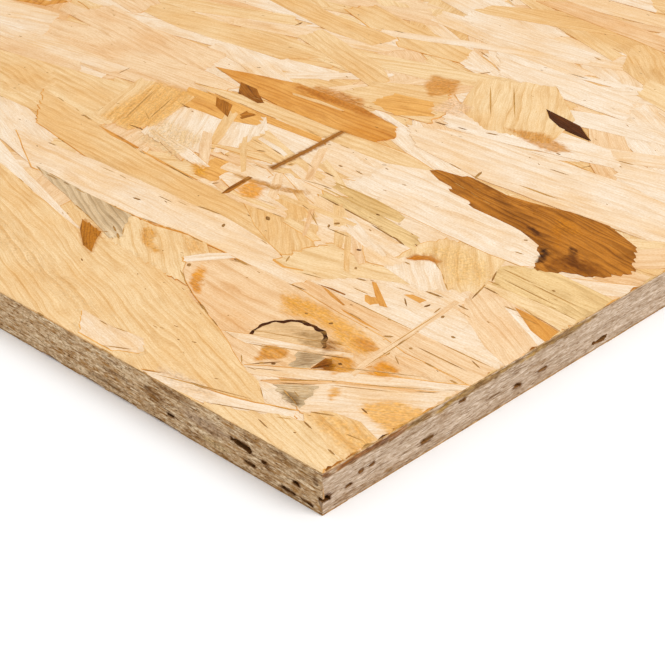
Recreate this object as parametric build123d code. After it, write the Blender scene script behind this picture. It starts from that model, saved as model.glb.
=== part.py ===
# Oriented strand board panel: one full square-edged sheet, lying flat on its lower face.
# Millimetres. The origin is the middle of the lower face, +X runs along the sheet, +Y across it, +Z up.
from build123d import *
from typing import NamedTuple
import os

# Sheet
LENGTH = 2440.0
WIDTH = 1220.0
THICKNESS = 18.0
ARRIS = 0.3  # small flat that sanding leaves on every arris
FACE_LAYER = 1.6  # tightly pressed strands under each face, where no gap opens

# Gaps between the core's strands, opened by the trim saw, are spread along all four edges
GAP_PITCH = 72.0
GAP_FIRST = 170.0  # from the corner where the edge starts to the first gap of the pattern
GAP_SHORTEST = 5.0
GAP_LONGEST = 13.0
GAP_THINNEST = 0.9
GAP_THICKEST = 2.1
GAP_REACH = 0.42  # how far a gap reaches in, as a share of its length
GAP_END = 0.8  # a gap's ends are square, at this share of its height and reach in the middle
GAP_TILT = 4.0  # degrees that a gap leans from level, one way or the other
GAP_CLEAR = 0.08  # share of the core that the pattern leaves whole below and above its gaps

# Chips torn from the lower arris of the long edges, where the saw came out
CHIP_PITCH = 190.0
CHIP_FIRST = 205.0
CHIP_LENGTH = 20.0
CHIP_HEIGHT = 1.1
CHIP_DEPTH = 1.0
CHIP_END = 0.5  # as GAP_END, for a chip
CHIP_VARIES = 0.4  # share of its length that a chip may gain or lose

# Both patterns wander from their pitch by up to this share of it, and the golden ratio spreads their
# values evenly without repeating them
WANDER = 0.3
GOLDEN = 0.6180339887


class Gap(NamedTuple):
    """A gap on a sawn edge, placed from the corner where that edge starts."""

    along: float
    level: float  # share of the core's height, from the lower face layer up
    length: float
    height: float
    tilt: float  # degrees that it rises, going away from that corner


# Gaps seen beside the near corner, on the long edge and on the short one
LONG_EDGE_GAPS = [
    Gap(along=40.0, level=0.59, length=11.0, height=2.3, tilt=5.0),
    Gap(along=35.5, level=0.19, length=5.0, height=1.0, tilt=0.0),
    Gap(along=28.5, level=0.47, length=2.6, height=1.2, tilt=-14.0),
    Gap(along=12.5, level=0.39, length=3.2, height=1.3, tilt=10.0),
    Gap(along=16.5, level=0.06, length=6.5, height=1.0, tilt=4.0),
    Gap(along=7.5, level=0.02, length=6.0, height=0.7, tilt=6.0),
    Gap(along=77.5, level=0.27, length=3.6, height=0.8, tilt=-5.0),
]
SHORT_EDGE_GAPS = [
    Gap(along=1.2, level=0.32, length=5.6, height=2.2, tilt=-6.0),
    Gap(along=13.0, level=0.31, length=3.2, height=0.8, tilt=3.0),
    Gap(along=19.0, level=0.51, length=2.6, height=1.2, tilt=0.0),
    Gap(along=24.5, level=0.52, length=2.4, height=1.0, tilt=8.0),
    Gap(along=53.5, level=0.27, length=6.6, height=1.3, tilt=0.0),
    Gap(along=72.5, level=0.80, length=3.6, height=0.9, tilt=-6.0),
    Gap(along=104.5, level=0.25, length=4.4, height=1.6, tilt=-12.0),
    Gap(along=119.5, level=0.29, length=5.0, height=0.8, tilt=0.0),
]

# Chips seen on the long edge, from the near corner: place and length
LONG_EDGE_CHIPS = [(84.0, 23.0), (105.0, 16.0), (123.0, 15.0)]


class Edge(NamedTuple):
    """A sawn edge: the corner where it starts and its direction, as signs of X and Y."""

    corner: tuple
    direction: tuple
    span: float

    def place(self, along, height, tilt):
        """Location on this edge, turned so that local X runs along it."""
        x = self.corner[0] * LENGTH / 2 + self.direction[0] * along
        y = self.corner[1] * WIDTH / 2 + self.direction[1] * along
        turn = 0 if self.direction[0] else 90
        lean = -tilt * sum(self.direction)
        return Pos(x, y, height) * Rot(0, 0, turn) * Rot(0, lean, 0)


NEAR_LONG = Edge(corner=(1, -1), direction=(-1, 0), span=LENGTH)
NEAR_SHORT = Edge(corner=(1, -1), direction=(0, 1), span=WIDTH)
FAR_LONG = Edge(corner=(-1, 1), direction=(1, 0), span=LENGTH)
FAR_SHORT = Edge(corner=(-1, 1), direction=(0, -1), span=WIDTH)


def ridged(plane, length, middle, end):
    """Flat shape, widest in the middle, with square ends and its length along the plane's X."""
    half, ridge, tip = length / 2, middle / 2, end / 2
    corners = [(-half, tip), (0, ridge), (half, tip), (half, -tip), (0, -ridge), (-half, -tip)]
    return plane * make_face(Polyline(corners, close=True))


def hollow(length, height, depth, end):
    """Cutter for a gap or a chip, centred on the edge's face and ridged in section and in plan."""
    section = ridged(Plane.XZ, length, height, height * end)
    plan = ridged(Plane.XY, length, 2 * depth, 2 * depth * end)
    return extrude(section, amount=2 * depth, both=True) & extrude(plan, amount=height, both=True)


def gap_cutter(edge, gap):
    """Cutter for one gap, at its level in the core."""
    core = THICKNESS - 2 * FACE_LAYER
    height = FACE_LAYER + gap.level * core
    cutter = hollow(gap.length, gap.height, gap.length * GAP_REACH, GAP_END)
    return edge.place(gap.along, height, gap.tilt) * cutter


def spread(step, stride, low, high):
    """Value between low and high for one step of a pattern; each measure has a stride of its own."""
    return low + (high - low) * (step * stride * GOLDEN % 1)


def gap_pattern(edge, shift):
    """Gaps along the whole edge, past the stretch beside its first corner; shift sets edges apart."""
    count = int((edge.span - 2 * GAP_FIRST) // GAP_PITCH) + 1
    gaps = []
    for number in range(count):
        step = number + shift
        wander = spread(step, 3, -WANDER, WANDER) * GAP_PITCH
        gap = Gap(
            along=GAP_FIRST + number * GAP_PITCH + wander,
            level=spread(step, 7, GAP_CLEAR, 1 - GAP_CLEAR),
            length=spread(step, 5, GAP_SHORTEST, GAP_LONGEST),
            height=spread(step, 11, GAP_THINNEST, GAP_THICKEST),
            tilt=spread(step, 13, -GAP_TILT, GAP_TILT),
        )
        gaps.append(gap)
    return gaps


def chip_pattern(edge):
    """Places and lengths of the chips along a long edge's lower arris."""
    count = int((edge.span - 2 * CHIP_FIRST) // CHIP_PITCH) + 1
    chips = []
    for number in range(count):
        wander = spread(number, 3, -WANDER, WANDER) * CHIP_PITCH
        length = CHIP_LENGTH * spread(number, 5, 1 - CHIP_VARIES, 1 + CHIP_VARIES)
        chips.append((CHIP_FIRST + number * CHIP_PITCH + wander, length))
    return chips


def chip_cutters(edge, chips):
    """Cutters for chips, half of each below the sheet, so that it breaks the arris."""
    return [
        edge.place(along, 0, 0) * hollow(length, 2 * CHIP_HEIGHT, CHIP_DEPTH, CHIP_END)
        for along, length in chips
    ]


def sheet_blank():
    """The trimmed sheet with every arris broken."""
    floor_up = (Align.CENTER, Align.CENTER, Align.MIN)
    blank = Box(LENGTH, WIDTH, THICKNESS, align=floor_up)
    return chamfer(blank.edges(), ARRIS)


def osb_panel():
    """The sheet with the gaps and chips of its four sawn edges."""
    gaps_on = [
        (NEAR_LONG, LONG_EDGE_GAPS + gap_pattern(NEAR_LONG, 1)),
        (NEAR_SHORT, SHORT_EDGE_GAPS + gap_pattern(NEAR_SHORT, 40)),
        (FAR_LONG, gap_pattern(FAR_LONG, 80)),
        (FAR_SHORT, gap_pattern(FAR_SHORT, 120)),
    ]
    cutters = [gap_cutter(edge, gap) for edge, gaps in gaps_on for gap in gaps]
    cutters += chip_cutters(NEAR_LONG, LONG_EDGE_CHIPS + chip_pattern(NEAR_LONG))
    cutters += chip_cutters(FAR_LONG, chip_pattern(FAR_LONG))
    return sheet_blank() - cutters


def main():
    """Write the panel's STEP file."""
    os.makedirs("parts", exist_ok=True)
    panel = osb_panel()
    export_step(panel, "parts/osb_panel.step")
    print("osb_panel", "volume", round(panel.volume), "faces", len(panel.faces()))


main()
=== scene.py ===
# Oriented strand board panel: pressed strands on both faces, sawn edges with open gaps, on a white floor.
import cmath
import math
import random
from typing import NamedTuple

import bpy
import numpy as np
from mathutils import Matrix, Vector
from mathutils.geometry import delaunay_2d_cdt


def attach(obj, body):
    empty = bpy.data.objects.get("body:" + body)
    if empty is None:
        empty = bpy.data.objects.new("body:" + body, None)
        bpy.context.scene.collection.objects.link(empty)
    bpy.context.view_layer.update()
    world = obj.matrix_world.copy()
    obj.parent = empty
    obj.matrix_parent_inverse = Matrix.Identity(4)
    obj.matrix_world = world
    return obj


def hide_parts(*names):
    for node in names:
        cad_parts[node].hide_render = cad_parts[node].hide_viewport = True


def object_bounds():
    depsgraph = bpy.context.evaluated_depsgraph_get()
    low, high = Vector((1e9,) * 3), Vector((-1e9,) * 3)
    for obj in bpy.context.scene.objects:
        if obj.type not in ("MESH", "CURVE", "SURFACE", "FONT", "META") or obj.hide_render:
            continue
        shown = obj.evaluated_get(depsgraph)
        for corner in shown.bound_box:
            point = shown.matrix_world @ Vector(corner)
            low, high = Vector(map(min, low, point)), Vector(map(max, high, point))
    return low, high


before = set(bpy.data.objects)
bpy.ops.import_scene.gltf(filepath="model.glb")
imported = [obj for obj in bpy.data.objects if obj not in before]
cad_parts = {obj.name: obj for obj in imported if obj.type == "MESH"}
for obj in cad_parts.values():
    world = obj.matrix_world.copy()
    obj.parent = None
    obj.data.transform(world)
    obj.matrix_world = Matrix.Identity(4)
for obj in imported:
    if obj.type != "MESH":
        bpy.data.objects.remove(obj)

MM = 0.001
SEED = 20
cad_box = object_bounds()
LENGTH, WIDTH, THICKNESS = [round(side / MM, 3) for side in cad_box[1] - cad_box[0]]

# The panel's make-up, in millimetres
FACE_SLAB = 0.7  # thickness of a face tile; the edge strips fill the height between the two faces' tiles
STRIP_HEIGHT = THICKNESS - 2 * FACE_SLAB
EDGE_SLAB = 7.0  # thickness of an edge strip, deeper than any gap
TILE = 610.0  # each face is made in square tiles, and each edge in strips, of this length
RELIEF = 0.30  # from the lowest strand of a face to the highest
HEIGHT_WANDER = 0.08  # a strand may lie this much lower than its rank gives
GROUND_SINK = 0.15  # the ground of a face, seen where no strand lies, is this far below the lowest
SECTION_SINK = 0.2  # the same for an edge
CRACK_DEPTH = 0.16  # open hairline cracks between strands
SIDE_CRACK_LEAST = 6.0  # shortest stretch of a strand's side that a hairline may follow
SIDE_CRACK_SHARE = 0.12  # share of those stretches that have one
# tone of those painted shadow lines; below 0 they are only faint
SIDE_CRACK_DARK = -0.4
NARROW = 5.0  # strands narrower than this have none
CLOSE = 1e-4  # points nearer than this are one point
STRAIGHT = 0.02  # points that stray less than this from a straight line are taken out
WALL_SHADE_AND_TEAR = 0.35  # a strand's torn side is this much deeper in tone than its face: painted shade along the step, with some real browning of the torn fibres
UPPER_RIM = 0.4  # tone of the sawn rim of the upper face
LOWER_RIM_SHADED = 0.9  # and of the lower face, darker: a painted shadow line along the lower arris
SKIRT = -2  # owner of a slab's sides and back
NEAR_REACH = 430.0  # strands this near to the photographed corner are made with fine outlines
STAINED = (330.0, 340.0)  # part of the top face, from that corner, with points enough to carry soft stains
STAIN_STEP = 2.5  # between those points
EDGE_STAINED = 150.0  # part of each edge beside that corner with such points
EDGE_STAIN_STEP = 0.8
ARRIS_SMEARS = 120  # brown smears under the arris of the short edge there
RUSTY_ARRIS = 42.0  # length of it, from the corner, that is rusty brown
RUSTY_SMEARS = ("#6A3602", "#8E4E04", "#B06C12")
TAN_SMEARS = ("#745012", "#9C7632", "#BC9448")
SMEAR_START = -2.0  # the first one may start this far past the corner
SMEAR_DROP = (0.2, 3.2, 0.8)  # least, greatest and usual distance below the top face
SMEAR_LENGTH = (1.5, 7, 3)
SMEAR_HEIGHT = (0.7, 1.7)
SMEAR_STRENGTH = (0.5, 0.95)
SMEAR_SOFT = 0.5

FLECKS_PER_M2 = 1600.0  # small flecks of bark over the top face
FLECK_LENGTH = 1.9
FLECK_LEAST = (0.3, 0.12, 0.02)  # length, width and height of the smallest, as shares of that length
FLECK_MOST = (1.6, 0.4, 0.05)  # and of the largest
FLECK_TURN = 0.5  # radians that a fleck may turn from the panel's length
FLECK_KEEPS = 0.495  # flecks keep this near to a tile's middle, as a share of the tile
UPWARD = 0.9  # faces whose normal rises more than this carry flecks

# Fibre-torn outlines: length of a step and how far it strays, fine and coarse
TORN_STEP = {"fine": 1.8, "coarse": 3.6}
SIDE_STEP = {"fine": 10.0, "coarse": 50.0}
TORN_STRAY = 1.7
SIDE_STRAY = 0.35

# Random strands of a face, long ones and small ones: least, greatest and usual length and width, and the
# spread of their directions in degrees
STRAND_LENGTH = (60, 165, 110)
STRAND_WIDTH = (7, 36, 17)
STRAND_SPREAD = 13
LONGWAYS_SHARE = 0.8  # share of the long ones that lie about along the panel
CROSS_TURN = 75  # the others turn by up to this
SMALL_LENGTH = (18, 60, 32)
SMALL_WIDTH = (4, 12, 7)
SMALL_SPREAD = 35
STRAND_TONE = (0.42, 0.25)  # mean and spread
GRAIN_SPREAD = 4  # degrees between a strand's length and its fibres
STRAND_CELL = 6.0  # cell of the grid that tells whether a face is covered
STRAND_SHOWS = (0.42, 0.16, 0)  # least share of a new strand that shows, in each pass over that grid
FACE_UNDERSIDE_SHARE = 0.25  # share of strands whose resin-browned underside shows at one side, a line that is partly painted shade
FACE_CRACK_SHARE = 0.5  # share of strands with a crack at one point of their outline
FACE_CRACK_LENGTH = (3, 16, 6)
FACE_CRACK_WIDTH = (0.6, 1.3)

# Cut strands of the sawn edges, fine ones beside the photographed corner and coarse ones elsewhere
FINE_REACH = 240.0
SECTION_LENGTH = {"fine": (8, 46, 18), "coarse": (30, 90, 50)}
SECTION_THICKNESS = {"fine": (0.6, 1.8, 1.0), "coarse": (1.0, 2.4, 1.6)}
SECTION_CELL = {"fine": 0.8, "coarse": 2.0}
SECTION_SHOWS = (0.4, 0.1)
SECTION_SPREAD = 2.2
SECTION_TONE = (0.45, 0.12)
SECTION_RELIEF = 0.16

# Strands' grain maps are moved apart, so that no two show the same part of a pattern
MAP_STRIDE = 7.31
MAP_SPAN = 900

# A tile's bake map fills this share of the square, past a margin; its back has a small square in the corner
BAKE_SHARE = 0.96
BAKE_MARGIN = 0.01
BACK_START = 0.985
BACK_SHARE = 0.01

# The photographed view: the eye in millimetres from the upper corner, its tilt and turn in degrees, the lens
EYE = Vector((345.57, -350.63, 345.18))
EYE_TILT = 30.548
EYE_TURN = 44.187
LENS = 96.78
SENSOR = 36.0


class Strand(NamedTuple):
    """A flake of wood on one side of the panel. Its corners are complex numbers, in millimetres."""

    outline: list
    wood: str
    grain: float  # direction of its fibres, in degrees
    pitch: float  # millimetres between growth rings
    tone: float  # 0 is the palest of its wood and 1 the deepest
    height: float  # of its surface, from the side's own plane


class Stain(NamedTuple):
    """A soft-edged patch of colour over the strands of one side."""

    colour: str
    strength: float
    soft: float  # width of its edge, in millimetres
    outline: list


class Side(NamedTuple):
    """A flat side of the panel: where its pattern starts, and the ways of its length, width and outside."""

    start: Vector
    along: Vector
    across: Vector
    outward: Vector


# A knot with a rim of bark, cut in half by the strands that lie over it; the rim shows between two directions
KNOT_MIDDLE = (-70.5, 52.8)
KNOT_RADIUS = 15.5
KNOT_FROM = 15
KNOT_TO = 215
KNOT_STEP = 6
KNOT_FOOT = (-72, 44)  # below its middle, under those strands
KNOT_BARK = 1.9


def knot_rim(inset):
    """Uneven outline of the knot, a little inside its rim where an inset is given."""
    outline = []
    for turn in range(KNOT_FROM, KNOT_TO, KNOT_STEP):
        angle = math.radians(turn)
        uneven = 0.40 * math.sin(7 * angle) + 0.3 * math.sin(17 * angle)
        bark = inset * (0.75 + 0.35 * math.sin(angle) + 0.25 * math.sin(11 * angle))
        radius = KNOT_RADIUS + uneven - bark
        outline.append((KNOT_MIDDLE[0] + radius * math.cos(angle), KNOT_MIDDLE[1] + radius * math.sin(angle)))
    return outline + [(KNOT_FOOT[0], KNOT_FOOT[1] - inset)]


# Strands seen beside the photographed corner, lowest first: wood, grain in degrees, ring pitch, tone, and the
# corners in millimetres from that corner of the panel, along its long edge and along its short one
CORNER_STRANDS = [
    ("peach", 3, 4.0, 0.25, [(-100, 60), (-100, 128), (0, 128), (0, 40), (-40, 40)]),
    ("cream", -4, 4.0, 0.60, [(-200, 100), (-190, 205), (-40, 200), (-40, 100)]),
    ("yellow", -4, 4.0, 0.40, [(-420, 150), (-300, 172), (-262, 150), (-285, 120), (-400, 118)]),
    ("yellow", -3, 3.8, 0.75, [(-330, 140), (-252, 127), (-220, 122.5), (-160, 121.5), (-140, 135),
                               (-128, 128), (-116, 112), (-118, 99), (-140, 101), (-180, 103), (-240, 102),
                               (-300, 112)]),
    ("yellow", -44, 3.2, 0.80, [(-168, 122), (-158, 139), (-140, 137), (-128, 128), (-116, 112), (-119, 99),
                                (-132, 103), (-148, 110)]),
    ("cream", 1, 6.0, 0.65, [(-300, 100), (-240, 104.5), (-180, 105), (-166, 106.6), (-150, 105),
                             (-130, 102), (-119, 98), (-100, 96), (-88, 92), (-82, 87), (-100, 84),
                             (-140, 85), (-166, 84.6), (-190, 80.6), (-220, 80), (-262, 80)]),
    ("yellow", 15, 8.0, 0.00, [(-120, 94), (-118, 108), (-113, 121), (-90, 119), (-70, 125), (-62, 119),
                               (-82, 109), (-92, 97), (-106, 93)]),
    ("yellow", -17, 2.9, 0.48, [(-330, 84), (-200, 56), (-180, 59), (-150, 57), (-125, 51), (-95, 41.5),
                                (-82, 39.5), (-70, 29), (-57, 25), (-45, 16.5), (-50, 8), (-62, 1),
                                (-66, 0), (-330, 0)]),
    ("cream", 18, 5.0, 0.12, [(-94, 0.5), (-86, 5), (-64, 9), (-48, 14), (-33, 21), (-29, 17), (-42, 9),
                              (-62, 1), (-78, 0)]),
    ("cream", -14, 4.0, 0.55, [(-144, 14), (-125, 13.5), (-110, 16), (-103, 9), (-112, 2), (-132, 2)]),
    ("cream", 38, 3.0, 0.45, [(-46, 36), (-30, 48), (-6, 67), (0, 72), (0, 24), (-14, 22), (-34, 22)]),
    ("yellow", -14, 2.6, 0.10, [(-65, 0), (-47, 8), (-35, 15.4), (-27, 18), (-12, 14), (0, 10), (0, 0)]),
    ("yellow", -16, 3.0, 0.62, [(-31, 22), (-22, 29.5), (-12, 31.5), (0, 27.5), (0, 10.5), (-8, 11.6),
                                (-20, 15.8), (-27, 18.4)]),
    ("peach", -4, 9.0, 0.28, [(-150, 66), (-136, 81), (-126, 84.4), (-92, 85), (-60, 84), (-46, 80),
                              (-38, 74), (-36, 58), (-46, 48), (-62, 31), (-70, 29), (-95, 41), (-122, 52),
                              (-132, 57)]),
    ("bark", 60, 1.2, 0.70, knot_rim(0)),
    ("knot", 40, 3.0, 0.20, knot_rim(KNOT_BARK)),
    ("grey", 58, 1.3, 0.70, [(-62, 51), (-57, 55), (-52.4, 56.4), (-50.6, 50), (-50.2, 45), (-53, 41),
                             (-57.4, 40.4)]),
    ("cream", 24, 3.0, 0.45, [(-94, 40.4), (-83, 46.4), (-70, 51.4), (-58, 57), (-46, 63.2), (-43.8, 60.2),
                              (-52, 55.6), (-60, 50.6), (-70, 46.4), (-80, 40.6)]),
    ("cream", 3, 5.0, 0.45, [(-98, 91.6), (-88, 104), (-78, 109.5), (-60, 113.5), (-40, 115), (-18, 112),
                             (0, 98), (0, 91.5), (-60, 91.5)]),
    ("cream", 4, 6.0, 0.25, [(-82, 92), (-74, 100), (-58, 106), (-46, 108), (-30, 113), (-18, 109),
                             (-14, 98), (-24, 92.4)]),
    ("peach", 0, 2.6, 0.55, [(-98, 91.4), (-40, 91.4), (0, 91.6), (0, 76.4), (-16, 77), (-32, 77),
                             (-46, 80), (-60, 81), (-84, 83), (-100, 85)]),
    ("peach", -4, 3.0, 0.40, [(-34, 73), (-22, 76.5), (0, 75.5), (0, 69.5), (-18, 68.5), (-28, 69)]),
    ("peach", -27, 3.4, 0.10, [(-46, 136), (-24, 134.5), (0, 128), (0, 96), (-14, 101), (-34, 113),
                               (-42, 122)]),
    ("yellow", -4, 3.4, 0.12, [(-46, 141), (-10, 142), (0, 141), (0, 130), (-20, 133), (-44, 136)]),
    ("olive", -4, 3.2, 0.12, [(-52, 151), (-47, 158), (-38, 163), (-30, 166), (40, 160), (0, 141),
                              (-20, 141.5), (-43, 140), (-47, 146)]),
    ("cream", -24, 3.0, 0.00, [(-27, 129), (-22, 130.5), (-10, 125.5), (0, 119.6), (0, 115.5), (-14, 122.5)]),
    ("ochre", -22, 2.4, 0.50, [(-25, 132.2), (-14, 131.6), (0, 129), (0, 119.6), (-9, 122.4), (-18, 128)]),
    ("cream", -40, 6.0, 0.20, [(-80, 133), (-74, 139.5), (-69, 138.5), (-62, 134.5), (-50, 124), (-60, 116),
                               (-84, 121)]),
    ("yellow", -50, 7.0, 0.30, [(-86, 130), (-86, 148), (-82, 158), (-66, 160), (-52, 160), (-47, 146),
                                (-42, 131), (-52, 124), (-64, 134), (-74, 140), (-79, 137)]),
    ("cream", -3, 7.0, 0.26, [(-158, 205), (-128, 204), (-96, 196), (-60, 190), (-44, 178), (-38, 166),
                              (-44, 160), (-60, 159), (-86, 160), (-106, 161.5), (-152, 164)]),
    ("olive", -6, 2.6, 0.15, [(-150, 155), (-120, 153.6), (-104, 152), (-90, 150), (-84, 140), (-92, 141),
                              (-104, 143.4), (-116, 146.4), (-150, 149.4)]),
    ("olive", -3, 2.2, 0.55, [(-152, 163.4), (-128, 163.2), (-114, 162), (-107, 159.4), (-105.6, 154),
                              (-120, 153.6), (-152, 156.5)]),
    ("cream", -5, 4.0, 0.60, [(-152, 148), (-122, 145), (-92, 140.6), (-98, 134), (-118, 131), (-150, 138)]),
    ("yellow", -35, 5.5, 0.22, [(-193, 79.6), (-178, 81.4), (-165, 84.6), (-150, 84.4), (-142, 79),
                                (-147, 71), (-140, 62), (-130, 55), (-150, 56), (-180, 58), (-187, 69)]),
    ("grey", -24, 2.6, 0.40, [(-262, 82), (-220, 80), (-193, 80), (-188, 72), (-180, 64), (-183, 59.5),
                              (-200, 65), (-250, 78)]),
    ("cream", 55, 4.0, 0.10, [(-148.5, 70), (-144, 68), (-138, 76), (-132, 84.4), (-138, 84.8), (-144, 79)]),
    ("cream", -2, 3.2, 0.45, [(-222, 196), (-186, 194), (-148, 198), (-146, 180), (-152, 160), (-186, 166),
                              (-214, 170)]),
    ("yellow", 2, 3.4, 0.25, [(-282, 196), (-240, 205), (-190, 206), (-150, 208), (-128, 203), (-150, 194),
                              (-190, 193.5), (-250, 194)]),
    ("ochre", 0, 2.2, 0.15, [(-270, 193.5), (-190, 193.5), (-183, 189), (-215, 187.5), (-256, 188.5)]),
    ("cream", -55, 4.4, 0.28, [(-268, 168), (-250, 184), (-226, 192), (-212, 180), (-209, 152), (-224, 137),
                               (-256, 139)]),
    ("ochre", -4, 3.0, 0.05, [(-280, 191), (-252, 194), (-228, 193), (-222, 182), (-240, 175), (-270, 174)]),
    ("ochre", -8, 2.6, 0.05, [(-210, 144), (-186, 148), (-172, 138), (-178, 126), (-204, 126)]),
    ("yellow", -60, 3.0, 0.75, [(-245, 184), (-238, 185), (-215, 147), (-218, 144.5)]),
    ("yellow", -64, 5.0, 0.42, [(-306, 182), (-268, 184), (-257, 150), (-262, 136), (-288, 138)]),
    ("yellow", -8, 3.4, 0.50, [(-214, 182), (-186, 172), (-160, 165), (-150, 150), (-185, 146), (-210, 150)]),
    ("cream", 4, 3.0, 0.50, [(-205, 150), (-182, 152), (-152, 158), (-148, 148), (-164, 140), (-200, 138)]),
    ("cream", 10, 3.0, 0.20, [(-194, 138), (-172, 140), (-158, 136), (-162, 122), (-192, 123)]),
    ("cream", 3, 6.0, 0.50, [(-172, 232), (-140, 246), (-100, 250), (-60, 252), (10, 240), (-20, 214),
                             (-62, 212), (-110, 211), (-152, 217)]),
    ("ochre", -1, 3.2, 0.62, [(-290, 218), (-244, 232), (-200, 232), (-173, 227), (-166, 218), (-169, 207),
                              (-190, 205), (-226, 205), (-250, 208)]),
    ("yellow", -56, 5.2, 0.28, [(-184, 300), (-150, 318), (-118, 292), (-110, 262), (-140, 254),
                                (-166, 262)]),
    ("yellow", 20, 3.6, 0.40, [(-215, 262), (-188, 280), (-170, 262), (-166, 240), (-200, 234), (-222, 238)]),
    ("ochre", 20, 3.0, 0.05, [(-202, 256), (-180, 261), (-169, 248), (-184, 236), (-202, 240)]),
    ("brown", -10, 2.8, 0.20, [(-131, 202), (-127, 205.5), (-118, 207), (-112, 209.5), (-100, 208),
                               (-90, 206.6), (-80, 208), (-70, 210), (-60, 213), (-40, 214), (-20, 206),
                               (-8, 186), (-18, 173), (-30, 167), (-34, 163), (-37, 161.4), (-40, 163),
                               (-42, 166), (-42.4, 169), (-46, 174), (-50, 179), (-56, 181.4), (-64, 184.2),
                               (-70, 185.2), (-80, 186), (-92, 186.6), (-96, 188), (-98, 190.6),
                               (-110, 192), (-113, 196), (-121, 197.2), (-125, 199)]),
    ("grey", 36, 1.3, 0.15, [(-52, 27.4), (-45, 33.6), (-39, 38), (-36, 32), (-33.6, 22.6), (-40, 23.4),
                             (-46, 25.4)]),
    ("cream", 34, 4.0, 0.60, [(-69.6, 29), (-62, 27), (-45, 38.4), (-34, 46.8), (-12, 60), (-3.6, 67),
                              (0, 72), (0, 76.4), (-10, 69.6), (-28, 58.6), (-40, 51), (-55, 40)]),
    ("peach", 36, 1.6, 0.95, [(-57.4, 26), (-52, 28), (-44, 34.4), (-36.6, 43), (-12, 58.4), (-4.6, 65.8),
                              (-12, 60.4), (-36, 45.4), (-46, 36)]),
    ("peach", 98, 2.4, 0.10, [(-45, 120), (-42.4, 120), (-38.6, 86), (-35.8, 60), (-34.4, 51.6),
                              (-37.6, 52), (-39.4, 62), (-41.4, 86)]),
]

# Chips and slivers that lie on those strands, in the same form
CORNER_CHIPS = [
    ("ochre", 3, 1.6, 0.45, [(-62.5, 109.4), (-60, 112), (-53, 112.4), (-53.4, 108.8)]),
    ("ochre", -38, 1.4, 0.50, [(-79, 108.6), (-76.8, 109), (-60, 97.4), (-63.4, 96.4), (-70, 101)]),
    ("ochre", -30, 1.6, 0.55, [(-73.4, 98.6), (-69, 100.2), (-64.4, 97.4), (-66.4, 94.2), (-70, 95)]),
    ("brown", 7, 1.2, 0.25, [(-93, 91.9), (-86, 93.6), (-79, 93.8), (-79, 92.9), (-86, 92.4)]),
    ("ochre", -14, 1.2, 0.70, [(-91, 92), (-87, 91.7), (-73, 87.3), (-73.6, 86.5), (-82, 88.4)]),
    ("ochre", -8, 1.2, 0.80, [(-73, 84.2), (-66, 84), (-48, 82), (-58, 81.8), (-70, 83.2)]),
    ("brown", 92, 1.6, 0.00, [(-189.2, 205.4), (-187, 205.4), (-184, 180), (-182, 158), (-181.6, 153.4),
                              (-184.2, 154), (-186.4, 180)]),
    ("brown", 96, 1.4, 0.00, [(-184.8, 141), (-182.2, 141.4), (-178.6, 123.4), (-180.6, 120.8),
                              (-182.8, 128)]),
    ("ochre", 5, 1.2, 0.90, [(-193, 80), (-178, 81.2), (-166, 84.4), (-158, 84.8), (-166, 83.2),
                             (-178, 80.2)]),
    ("ochre", 14, 1.2, 0.55, [(-121, 94.6), (-113, 93.4), (-105, 96.4), (-105, 95.6), (-113, 91.9),
                              (-120, 93.2)]),
    ("brown", 70, 1.4, 0.65, [(-51, 53.6), (-48.6, 54.8), (-46.8, 52.6), (-44.6, 53), (-42.4, 49.4),
                              (-45, 47.4), (-47, 48), (-49.8, 44.4)]),
    ("brown", -40, 1.8, 0.00, [(-205, 63), (-190, 61), (-185, 53.6), (-178.6, 46.4), (-186, 48), (-198, 56)]),
    ("ochre", 20, 1.4, 0.95, [(-81.8, 132.4), (-80.6, 137.4), (-76, 141), (-70.2, 140), (-70.6, 138),
                              (-75.2, 137.8), (-78.6, 133.8)]),
    ("brown", -20, 1.4, 0.95, [(-266, 213), (-254, 212.6), (-239, 203), (-241, 200.6), (-257, 203)]),
    ("brown", -40, 1.4, 0.15, [(-261, 192), (-248, 190.6), (-239, 179), (-253, 184)]),
    ("brown", 70, 1.4, 0.10, [(-238, 190.6), (-231, 190), (-232.6, 182), (-237, 184.6)]),
    ("bark", -18, 1.4, 0.45, [(-136, 292.6), (-124, 290.4), (-112, 288), (-98, 278), (-106, 278.6),
                              (-118, 280), (-128, 285)]),
    ("yellow", 3, 2.0, 0.50, [(-238, 221.5), (-222, 224), (-204, 223.4), (-206, 222), (-236, 219.8)]),
    ("ochre", -4, 1.4, 0.60, [(-276, 130), (-258, 128.8), (-243, 127), (-243, 125.6), (-262, 126.6)]),
    ("ochre", -3, 1.2, 0.50, [(-240, 126), (-215, 124.2), (-194, 122.6), (-215, 122.8), (-236, 124.6)]),
    ("olive", -3, 1.2, 0.95, [(-152, 163.8), (-128, 163.6), (-112, 161.6), (-128, 162.4), (-152, 162.6)]),
    ("olive", -3, 1.2, 0.95, [(-152, 156.6), (-120, 154.4), (-104, 152.4), (-120, 153.2), (-152, 155.6)]),
]

# Parts of that corner strewn with small slivers: from and to along the long edge, from and to along the short
# one, and how many
SLIVER_ZONES = [(-212, -154, 122, 176, 20), (-150, -100, 120, 140, 11), (-250, -216, 128, 150, 5)]
SLIVER_LENGTH = (14, 48, 26)
SLIVER_WIDTH = (1.5, 8, 4)
SLIVER_TURNS = (-46, -10, -10, 12)
SLIVER_SPREAD = 9
SLIVER_WOODS = {"cream": 5, "yellow": 4, "peach": 3}  # and how many of each in a dozen
SLIVER_TONE = (0.05, 0.65)
SLIVER_PITCH = (1.5, 3.5)
UNDERSIDE_SHARE = 0.5  # share of the pale strands there whose resin-browned underside shows at one side, partly painted shade
UNDERSIDE_SHIFT = (0.3, 0.7)  # how much of it shows
UNDERSIDE_TONE = (-0.4, 0.4)
TORN_ARRIS = 230.0  # length of the short edge, from the corner, with torn brown fibres along its arris
TORN_START = 2.0
TORN_LENGTH = (3, 12, 5)
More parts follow.
